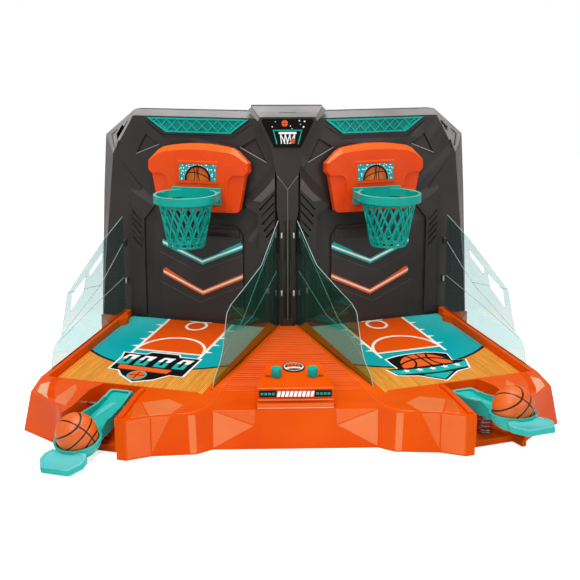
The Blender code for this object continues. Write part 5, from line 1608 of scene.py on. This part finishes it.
# ---- hoop
@dataclass
class Hoop:
    """A backboard with its window print, the rim and the net."""

    lane: Lane
    board_u: float = 62.0
    board_back: float = 4.0
    board_front: float = 12.0
    face_depth: float = 2.6  # thickness that the chamfered face takes
    crown_z: float = 196.0   # the crown's chamfer starts here
    foot_z: float = 151.0    # and the lower chamfer ends here
    window_u: float = 60.9
    window_z: float = 183.4
    rim_v: float = 36.5
    bracket_v: float = 8.0   # the bracket ends here and the rim begins
    bracket_top: float = 165.2
    rim_top: float = 167.0
    rim_slim: float = 0.86   # share of the band's height that stays
    rim_fall: float = 1.9    # how far the rim falls over its reach
    rim_reach: float = 56.0
    net_top: Pair = (23.0, 160.4)
    net_bottom: Pair = (15.3, 123.0)
    strands: int = 15
    twist: float = 47.0      # degrees a strand runs round
    strand_steps: int = 14

    def build(self) -> None:
        """Make board, print, rim and net."""
        name = self.lane.name
        self.board()
        sticker = from_node(f"board_window_{name}", f"backboard_sticker_{name}")
        window = HalfBallPrint(f"window_print_{name}", self.lane, (self.window_u, self.window_z - 6.0))
        install(sticker, window, stands_for=[f"backboard_sticker_{name}"])
        rim = from_node(f"rim_{name}", f"hoop_rim_{name}")
        self.tilt_rim(rim)
        soften(rim, 0.6, 3, 40.0)
        # painted highlight: the rim's upward-facing faces in a paler teal
        dress_faces(rim, (TEAL, PALE_TEAL), lambda place, normal: int(place.z > 165.0 and normal.z > 0.5))
        install(rim, TEAL, stands_for=[f"hoop_rim_{name}"])
        self.net()

    def tilt_rim(self, rim: Piece) -> None:
        """Slim the rim's band and let it fall slightly forwards from its bracket.

        Args:
            rim: the rim's mesh, in the machine's frame.
        """
        back = self.lane.matrix().inverted()
        for vertex in rim.data.vertices:
            v, z = (back @ vertex.co).y / MM, vertex.co.z / MM
            if v < self.bracket_v:
                vertex.co.z = min(z, self.bracket_top) * MM
            else:
                share = min(1.0, (v - self.bracket_v) / self.rim_reach)
                slim = self.rim_top - (self.rim_top - z) * self.rim_slim
                vertex.co.z = (slim + self.rim_fall * (1.0 - share)) * MM

    def board(self) -> None:
        """The board: crowned top chamfer, recessed outer legs, raised window frame."""
        name = self.lane.name
        half = [(0.0, 208.2), (9.0, 208.0), (17.0, 207.3), (25.0, 206.2), (32.5, 204.8), (37.5, 202.0),
                (47.5, 192.5), (47.8, 185.0), (44.2, 180.8), (38.5, 151.2), (36.0, 149.2), (18.0, 148.5)]
        outline = [(self.board_u + x, z) for x, z in half]
        outline += [(self.board_u - x, z) for x, z in reversed(half[1:])]
        board = plate(f"board_{name}", outline, self.board_back, self.board_front - self.face_depth,
                      Across.V)
        edit(board)
        pick(board, lambda middle, normal: normal.y > 0.9)
        bpy.ops.mesh.extrude_region_move(TRANSFORM_OT_translate={"value": Across.V.along(self.face_depth)})
        done()
        centre = self.board_u * MM
        for vertex in board.data.vertices:
            if vertex.co.y > (self.board_front - 0.5) * MM:
                top = max(0.0, vertex.co.z / MM - self.crown_z) / 12.0
                if top > 0:
                    vertex.co.z -= (0.8 + 4.4 * top) * MM
                elif vertex.co.z < self.foot_z * MM:
                    vertex.co.z += 0.9 * MM
                vertex.co.x = centre + (vertex.co.x - centre) * (0.975 - 0.02 * top)
        for end in (-1, 1):
            leg = [(self.board_u + end * x, z) for x, z in (
                (62.0, 181.0), (36.0, 181.6), (31.6, 180.4), (29.2, 177.0), (28.3, 171.0), (26.6, 140.0),
                (62.0, 140.0))]
            tool = plate("leg", leg if end > 0 else leg[::-1], self.board_front - 1.9, 20.0, Across.V)
            combine(board, tool, "DIFFERENCE")
        outer, inner = self.frame_ring(19.2, 9.7), self.frame_ring(17.5, 7.2)
        frame = plate("window_frame", outer, self.board_front - 1.0, self.board_front + 0.9, Across.V)
        combine(frame, plate("window_hole", inner, self.board_front - 0.2, 20.0, Across.V), "DIFFERENCE")
        combine(board, frame, "UNION")
        self.lane.place(board)
        soften(board, 0.7, 3, 25.0)
        # painted highlight: the upward-facing faces of the crown's chamfer in a lighter orange
        dress_faces(board, (BOARD_ORANGE, BRIGHT_FACET),
                    lambda place, normal: int(place.z > 190.0 and 0.25 < normal.z < 0.97 and normal.y < -0.1))
        install(board, BOARD_ORANGE, stands_for=[f"backboard_{name}"])

    def frame_ring(self, half_width: float, half_height: float) -> Points:
        """A rectangle round the window's middle."""
        u, z = self.window_u, self.window_z
        return oblong(u - half_width, u + half_width, z - half_height, z + half_height)

    def net(self) -> None:
        """The stiff net: strands that cross in diamonds, a collar and a bottom ring."""
        name = self.lane.name
        parts = []
        steps = self.strand_steps
        for lean in (-1, 1):
            path = [self.net_point(i / steps, lean * self.twist * i / steps) for i in range(steps + 1)]
            strand = tube("strand", path, 1.0, sides=1)
            for number in range(self.strands):
                copy = strand.copy()
                copy.data = strand.data.copy()
                bpy.context.collection.objects.link(copy)
                copy.data.transform(Matrix.Rotation(2 * math.pi * number / self.strands, 4, "Z"))
                parts.append(copy)
            bpy.data.objects.remove(strand, do_unlink=True)
        for share, radius in ((0.02, 1.3), (0.9, 0.8), (1.0, 1.1)):
            ring = [self.net_point(share, 7.5 * i) for i in range(48)]
            parts.append(tube("ring", ring, radius, closed=True))
        net = joined(f"net_{name}", parts)
        net.data.transform(Matrix.Translation(Vector((self.board_u, self.rim_v, 0.0)) * MM))
        self.lane.place(net)
        install(net, TEAL, stands_for=[f"hoop_net_{name}"])

    def net_point(self, share: float, degrees: float) -> Vector:
        """A point on the net, from its top at share 0 to its bottom at 1.

        Args:
            share: from 0 at the top to 1 at the bottom.
            degrees: round the net.

        Returns:
            The point from the net's axis, in metres.
        """
        radius = self.net_top[0] + (self.net_bottom[0] - self.net_top[0]) * share - 0.6
        height = self.net_top[1] + (self.net_bottom[1] - self.net_top[1]) * share
        angle = math.radians(degrees)
        return Vector((radius * math.cos(angle), radius * math.sin(angle), height)) * MM


# ---- shields
@dataclass
class Shields:
    """The clear sheets along both rails of a lane, with edges and folds in a painted highlight, and tabs."""

    lane: Lane
    outer_u: float = 138.4
    inner_u: float = -10.4
    inner_turn: float = math.radians(2.4)

    def build(self) -> None:
        """Make both sheets and their tabs."""
        for label in ("outer", "inner"):
            self.sheet(label)
        self.tabs()

    def sheet(self, label: str) -> None:
        """A sheet whose cut edges are painted pale as a highlight.

        Args:
            label: outer or inner.
        """
        name = self.lane.name
        node = f"shield_{label}_{name}"
        sheet = from_node(f"sheet_{label}_{name}", node)
        soften(sheet, 0.14, 1)
        flat = max(sheet.data.polygons, key=lambda p: p.area).normal.copy()
        # painted highlight: the edge faces in the pale sheet finish
        dress_faces(sheet, (SHEET if label == "outer" else INNER_SHEET, SHEET_EDGE),
                    lambda place, normal: int(abs(normal.dot(flat)) <= 0.98))
        whole = joined(sheet.name, [sheet, *self.folds(label)])
        install(whole, SHEET, stands_for=[node])

    def folds(self, label: str) -> list[Piece]:
        """Raised fold lines on a sheet's court side, in the edges' painted highlight.

        Args:
            label: outer or inner.

        Returns:
            The beads, in the machine's frame.
        """
        if label == "outer":
            start, turn = self.outer_u, 0.0
            lines = [((121.0, 57.5), (52.0, 86.0), (8.0, 115.0)), ((108.0, 91.0), (52.0, 86.0)),
                     ((128.0, 53.0), (66.0, 70.0), (8.0, 84.0))]
        else:
            start, turn = self.inner_u, self.inner_turn
            lines = [((126.0, 49.8), (80.0, 74.0), (8.0, 136.0)), ((104.0, 91.0), (78.0, 74.0)),
                     ((119.0, 60.0), (60.0, 72.0), (8.0, 100.0))]
        beads = []
        for line in lines:
            path = [self.lane.matrix() @ (Vector((start + v * math.tan(turn), v, z)) * MM) for v, z in line]
            beads.append(dyed(tube("fold", path, 0.28, sides=1), SHEET_EDGE))
        return beads

    def tabs(self) -> None:
        """The white ends of the sheets' tabs, seen through the back panel's slots."""
        lane, name = self.lane, self.lane.name
        places = [(138.9, 80.0), (-13.7, 131.0), (-13.7, 80.0)]
        parts = []
        for u, z in places:
            v = 2.4 if u > 0 else 5.2
            tab = block("tab", (0.9, 2.0, 4.8), (u, v, z))
            parts.append(apply(tab, "BEVEL", width=0.3 * MM, segments=2))
        tabs = lane.place(joined(f"sheet_tabs_{name}", parts))
        install(smooth(tabs), WHITE)


# ---- launchers
@dataclass
class Launcher:
    """A lane's lever, pin, coil and ball."""

    lane: Lane
    coil_u: float = 60.0
    coil_v: float = 200.0
    coil_radius: float = 5.8
    wire: float = 0.7
    turns: float = 6.5
    turn_steps: int = 24
    flat_steps: int = 18     # steps of each closed end that lie level
    seam_depth: float = 0.018  # of a pressed seam, as a share of the ball's radius
    seam_width: float = 0.55
    pivot: Triple = (60.0, 178.0, 22.0)
    press: float = math.radians(15.5)
    ball_turn: Triple = (0.8, -0.5, -0.7)

    def build(self) -> None:
        """Make every piece of the launcher."""
        name = self.lane.name
        lever = from_node(f"lever_{name}_moulding", f"launcher_lever_{name}")
        soften(lever, 0.5, 2, 35.0)
        install(lever, LEVER_TEAL, f"lever_{name}", [f"launcher_lever_{name}"])
        self.lever_trim()
        refinish(f"launcher_pin_{name}", STEEL)
        self.coil()
        self.ball()

    def lever_trim(self) -> None:
        """The scoop's rounded end, a patch in its floor and the tab's raised border, all in a painted
        highlight teal.
        """
        name = self.lane.name
        turn = -self.press if self.lane.side is Side.LEFT else 0.0
        pivot = Matrix.Translation(Vector(self.pivot) * MM) @ Matrix.Rotation(turn, 4, "X")
        hood = [(-8.7, 0.0, 6.6), (-8.7, -8.0, 6.8), (-7.6, -11.0, 6.8), (-5.0, -12.0, 6.6),
                (0.0, -12.1, 6.4), (5.0, -12.0, 6.6), (7.6, -11.0, 6.8), (8.7, -8.0, 6.8), (8.7, 0.0, 6.6)]
        parts = [dyed(tube("hood", spots(hood), 0.9), LEVER_HIGHLIGHT_TEAL)]
        highlight_leaf = [(-2.0, 2.0), (1.4, -3.0), (6.6, 12.0), (6.0, 26.0), (1.6, 12.0)]
        parts.append(dyed(plate("highlight_leaf", highlight_leaf, 3.4, 4.0, Across.Z), LEVER_HIGHLIGHT_TEAL))
        field = [(-14.0, 72.9), (14.0, 72.9), (16.8, 78.8), (16.8, 85.0), (10.9, 95.0), (-10.9, 95.0),
                 (-16.8, 85.0), (-16.8, 78.8)]
        inner = [(u * 0.86, 84.0 + (v - 84.0) * 0.8) for u, v in field]
        border = plate("border", field, 7.2, 8.7, Across.Z)
        combine(border, plate("hole", inner, 7.9, 12.0, Across.Z), "DIFFERENCE")
        apply(border, "BEVEL", width=0.4 * MM, segments=2, limit_method="ANGLE")
        parts.append(smooth(dyed(border, LEVER_HIGHLIGHT_TEAL)))
        trim = self.lane.place(joined(f"lever_{name}_trim", parts), pivot)
        install(trim, LEVER_HIGHLIGHT_TEAL, f"lever_{name}")

    def coil(self) -> None:
        """The spring under the lever."""
        name = self.lane.name
        low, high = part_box(f"launcher_spring_{name}")
        foot, head = low.z / MM + self.wire, high.z / MM - self.wire
        count = int(self.turns * self.turn_steps)
        path = []
        for i in range(count + 1):
            angle = 2 * math.pi * i / self.turn_steps
            share = min(1.0, max(0.0, (i - self.flat_steps) / (count - 2 * self.flat_steps)))
            spot = Vector((self.coil_u + self.coil_radius * math.cos(angle),
                           self.coil_v + self.coil_radius * math.sin(angle), foot + (head - foot) * share))
            path.append(self.lane.matrix() @ (spot * MM))
        coil = tube(f"coil_{name}", path, self.wire)
        middle = self.lane.matrix() @ (Vector((self.coil_u, self.coil_v, 0.0)) * MM)
        install(coil, STEEL, stands_for=[f"launcher_spring_{name}"])
        coil.parent = None
        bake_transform(coil)

    def ball(self) -> None:
        """The ball, with its seams pressed in."""
        name = self.lane.name
        low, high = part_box(f"ball_{name}")
        centre = (low + high) / 2
        skin = BallVinyl(f"ball_vinyl_{name}", tuple(centre), self.ball_turn)
        ball = primitive(f"game_ball_{name}", bpy.ops.mesh.primitive_ico_sphere_add, subdivisions=6,
                         radius=skin.radius * MM)
        back = Euler(self.ball_turn).to_matrix()
        for vertex in ball.data.vertices:
            local = back @ vertex.co / MM
            gap = min(abs(local.x), abs(local.z), skin.off_side(local.x, local.z))
            vertex.co *= 1.0 - self.seam_depth * math.exp(-((gap / self.seam_width) ** 2))
        ball.data.transform(Matrix.Translation(centre))
        smooth(ball, 60.0)
        install(ball, skin, f"ball_{name}", [f"ball_{name}"])


# ---- console
@dataclass
class Console:
    """The score console with its knobs, dials, label plates and badge."""

    front_y: float = -108.5
    edge_z: float = 46.0
    tilt: float = math.radians(9.5)
    front_slope: float = 4.5 / 11.0
    knob_x: float = 13.7
    knob_along: float = 19.5
    knob_radius: float = 4.1
    knob_height: float = 6.8
    flutes: int = 16
    flute_depth: float = 0.30
    digit_size: float = 3.0
    digit_ring: float = 6.3
    dial_z: float = -2.16    # the dial's face, from the console's top
    badge_along: float = 34.0

    def face(self) -> Matrix:
        """From the tilted top's own plane to the machine's frame; its origin is on the front edge."""
        place = Matrix.Translation(Vector((0.0, self.front_y, self.edge_z)) * MM)
        return place @ Matrix.Rotation(self.tilt, 4, "X")

    def build(self) -> None:
        """Make every piece of the console."""
        cover = from_node("console_moulding", "console_cover")
        soften(cover, 0.8, 3)
        install(cover, ORANGE, stands_for=["console_cover"])
        self.trims()
        for side in Side:
            self.knob(side)
            self.dial_numbers(side)
            self.label(side)
        self.badge()

    def front_spot(self, z: float) -> float:
        """Where the console's sloping front lies in y at a height, in millimetres."""
        return self.front_y - self.front_slope * (self.edge_z - z)

    def trims(self) -> None:
        """Painted highlight lips round the label band, and slanted bars where a name would stand."""
        lips = []
        for z, half, width, finish in ((45.5, 28.0, 0.9, PALE_FACET), (37.6, 28.2, 0.8, PALE_FACET),
                                       (33.7, 28.4, 3.0, BRIGHT_FACET), (31.7, 28.4, 0.8, SHEEN_FACET)):
            y = self.front_spot(max(z, 35.0)) + 0.15
            highlight_lip = block("highlight_lip", (2 * half, 0.9, width), (0.0, y, z))
            lips.append(dyed(apply(highlight_lip, "BEVEL", width=0.25 * MM, segments=2), finish))
        for number in range(9):
            x = -12.4 + number * 3.1
            corners = [(x - 1.5, 39.8), (x + 0.7, 39.8), (x + 1.7, 43.4), (x - 0.5, 43.4)]
            face = spots([(a, self.front_spot(z) - 0.2, z) for a, z in corners])
            lips.append(dyed(prism("bar", face, Vector((0.0, 0.6, 0.0)) * MM), WHITE_INK))
        install(smooth(joined("console_trims", lips)), PALE_FACET)

    def knob(self, side: Side) -> None:
        """A fluted score knob on its shaft.

        Args:
            side: the lane whose score it turns.
        """
        name = side.label
        radius, height = self.knob_radius, self.knob_height
        knob = primitive(f"knob_{name}_cap", bpy.ops.mesh.primitive_cylinder_add, vertices=48,
                         radius=radius * MM, depth=(height - 0.3) * MM,
                         location=(0.0, 0.0, (height + 0.3) / 2 * MM))
        bpy.ops.object.transform_apply()
        for vertex in knob.data.vertices:
            angle = math.atan2(vertex.co.y, vertex.co.x)
            flute = self.flute_depth * (0.5 + 0.5 * math.cos(self.flutes * angle)) * MM
            vertex.co.xy = vertex.co.xy * (1.0 - flute / (radius * MM))
        edit(knob)
        pick(knob, lambda middle, normal: normal.z > 0.9)
        bpy.ops.mesh.inset(thickness=0.55 * MM)
        bpy.ops.mesh.extrude_region_move(TRANSFORM_OT_translate={"value": (0.0, 0.0, -0.3 * MM)})
        done()
        apply(knob, "BEVEL", width=0.25 * MM, segments=2, limit_method="ANGLE",
              angle_limit=math.radians(50.0))
        place = self.face() @ Matrix.Translation(self.knob_spot(side))
        shaft = from_node("shaft", f"score_knob_{name}")
        only(shaft)
        shaft.data.transform(place.inverted())
        edit(shaft, everything=True)
        bpy.ops.mesh.bisect(plane_co=(0.0, 0.0, 0.6 * MM), plane_no=(0.0, 0.0, 1.0),
                            clear_outer=True, use_fill=True)
        done()
        combine(knob, shaft, "UNION")
        knob.data.transform(place)
        smooth(knob, 40.0)
        install(knob, TEAL, f"knob_{name}", [f"score_knob_{name}"])

    def knob_spot(self, side: Side) -> Vector:
        """A knob's place on the tilted face."""
        return Vector((side.value * self.knob_x, self.knob_along, 0.0)) * MM

    def dial_numbers(self, side: Side) -> None:
        """Numbers 0 to 9 round a dial, read through the console's window.

        Args:
            side: the lane whose score they count.
        """
        name = side.label
        refinish(f"score_dial_{name}", WHITE)
        digits = []
        for number in range(10):
            text = primitive("digit", bpy.ops.object.text_add)
            text.data.body = str(number)
            text.data.size = self.digit_size * MM
            text.data.extrude = 0.04 * MM
            text.data.align_x = text.data.align_y = "CENTER"
            bpy.ops.object.convert(target="MESH")
            text = bpy.context.object
            half_turn = 0.0 if side is Side.RIGHT else math.pi
            turn = Matrix.Rotation(-2 * math.pi * number / 10 + half_turn, 4, "Z")
            upright = Matrix.Rotation(half_turn, 4, "Z")
            spot = Matrix.Translation((self.digit_ring * MM, 0.0, self.dial_z * MM))
            text.data.transform(turn @ spot @ upright)
            digits.append(text)
        ring = joined(f"dial_numbers_{name}", digits)
        ring.data.transform(self.face() @ Matrix.Translation(self.knob_spot(side)))
        install(ring, BLACK_INK, f"knob_{name}")

    def label(self, side: Side) -> None:
        """A black label plate with teal score bars.

        Args:
            side: the side of the console it lies on.
        """
        name = side.label
        node = f"console_label_{name}"
        low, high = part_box(node)
        parts = [dyed(from_node(f"label_{name}", node), BLACK_INK)]
        middle = (low + high) / 2 / MM
        for number in range(4):
            x = middle.x - 4.2 + number * 2.8
            bar = block("bar", (1.9, 0.3, 1.7), (x, low.y / MM, middle.z))
            shift = 0.3 if number % 2 else -0.3
            hole = block("hole", (0.8, 1.0, 0.5), (x, low.y / MM, middle.z + shift))
            parts.append(dyed(combine(bar, hole, "DIFFERENCE"), TEAL_INK))
        install(joined(parts[0].name, parts), BLACK_INK, stands_for=[node])

    def badge(self) -> None:
        """The round badge with a plain ball between rings."""
        spot = self.face() @ Matrix.Translation(Vector((0.0, self.badge_along, 0.0)) * MM)
        ribbon = [(-7.4, -2.6), (0.0, -0.6), (7.4, -2.6), (6.2, -4.4), (0.0, -2.6), (-6.2, -4.4)]
        layers: list[tuple[Points, Finish, float]] = [
            (disc(0.0, 0.0, 8.5, 48), BLACK_INK, 0.90),
            (disc(0.0, 0.0, 7.6, 48), WHITE, 0.96),
            (disc(0.0, 0.0, 7.0, 48), BLACK_INK, 0.98),
            (disc(0.0, 1.2, 5.2, 40), ORANGE_INK, 1.04),
            (ribbon, WHITE_INK, 1.14),
            (arc_band(-8.5, 0.0, 6.5, 0.3, -38.0, 38.0), BLACK_INK, 1.08),
            (arc_band(8.5, 0.0, 6.5, 0.3, 142.0, 218.0), BLACK_INK, 1.08),
            (oblong(-5.0, 5.0, 0.9, 1.5), BLACK_INK, 1.1),
            (oblong(-0.3, 0.3, -3.8, 6.2), BLACK_INK, 1.12)]
        layers += [(arc_band(0.0, 0.0, 6.7, 0.35, start, start + 50.0), TEAL_INK, 1.06)
                   for start in (65.0, 155.0, 245.0, 335.0)]
        parts = []
        for outline, finish, top in layers:
            parts.append(dyed(plate("badge_layer", outline, 0.3, top, Across.Z), finish))
        badge = joined("badge", parts)
        badge.data.transform(spot)
        install(badge, TEAL, stands_for=["console_badge"])


# ---- studio
@dataclass
class Studio:
    """White paper sweep, soft lamps and the camera."""

    azimuth: float = math.radians(-2.15)
    elevation: float = math.radians(13.41)
    distance: float = 0.9053
    target: Triple = (0.0, -0.050, 0.090)
    lens: float = 72.09
    shift: Pair = (-2.5 / 580, 21.3 / 580)

    def build(self) -> None:
        """Set the view, the floor, the lamps, the world and the camera."""
        bpy.context.scene.view_settings.view_transform = "Standard"
        self.sweep()
        self.lamp("key", (-0.75, -1.25, 1.25), 0.6, 10.5)
        self.lamp("fill", (1.1, -1.1, 0.6), 0.8, 4.5)
        self.lamp("top", (0.0, -0.1, 1.1), 0.7, 8.0)
        self.world()
        self.camera()

    def sweep(self) -> None:
        """The floor, one flat sheet that runs on past the view."""
        floor = primitive("paper_sweep_floor", bpy.ops.mesh.primitive_plane_add, size=4.0,
                          location=(0.0, 0.0, -0.4 * MM))
        dyed(floor, StudioFloor())

    def lamp(self, name: str, place: Triple, size: float, power: float) -> None:
        """A soft box that points at the machine.

        Args:
            name: its name.
            place: in metres.
            size: of its side, in metres.
            power: in watts.
        """
        light = bpy.data.lights.new(name, "AREA")
        light.size = size
        light.energy = power
        lamp = bpy.data.objects.new(name, light)
        lamp.location = place
        lamp.rotation_euler = (Vector((0.0, 0.0, 0.08)) - Vector(place)).to_track_quat("-Z", "Y").to_euler()
        bpy.context.scene.collection.objects.link(lamp)

    def world(self) -> None:
        """White to the camera and through glass; softer as a light and in reflections."""
        world = bpy.data.worlds.new("studio")
        world.use_nodes = True
        tree = world.node_tree
        rays = add(tree, "LightPath").outputs
        seen = add(tree, "Math", {0: rays["Is Camera Ray"], 1: rays["Is Transmission Ray"]},
                   operation="MAXIMUM").outputs[0]
        strength = add(tree, "MapRange", {0: seen, 3: 0.3, 4: 1.0}).outputs[0]
        set_all(tree.nodes["Background"], tree, {0: (1.0, 1.0, 1.0, 1.0), 1: strength})
        bpy.context.scene.world = world

    def camera(self) -> None:
        """A long lens a little left of the middle, looking slightly down."""
        data = bpy.data.cameras.new("camera")
        data.lens = self.lens
        data.sensor_width = 36.0
        data.shift_x, data.shift_y = self.shift
        camera = bpy.data.objects.new("camera", data)
        target = Vector(self.target)
        flat = math.cos(self.elevation)
        back = Vector((math.sin(self.azimuth) * flat, -math.cos(self.azimuth) * flat,
                       math.sin(self.elevation)))
        camera.location = target + back * self.distance
        camera.rotation_euler = (-back).to_track_quat("-Z", "Y").to_euler()
        bpy.context.scene.collection.objects.link(camera)
        bpy.context.scene.camera = camera


def main() -> None:
    """Build the machine round its frame."""
    logging.basicConfig(level=logging.INFO, format="%(name)s: %(message)s")
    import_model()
    Base().build()
    Spine().build()
    for side in Side:
        lane = Lane(side)
        for part in (Court(lane), Panel(lane), Hoop(lane), Shields(lane), Launcher(lane)):
            part.build()
    Console().build()
    Studio().build()


if __name__ == "__main__":
    main()
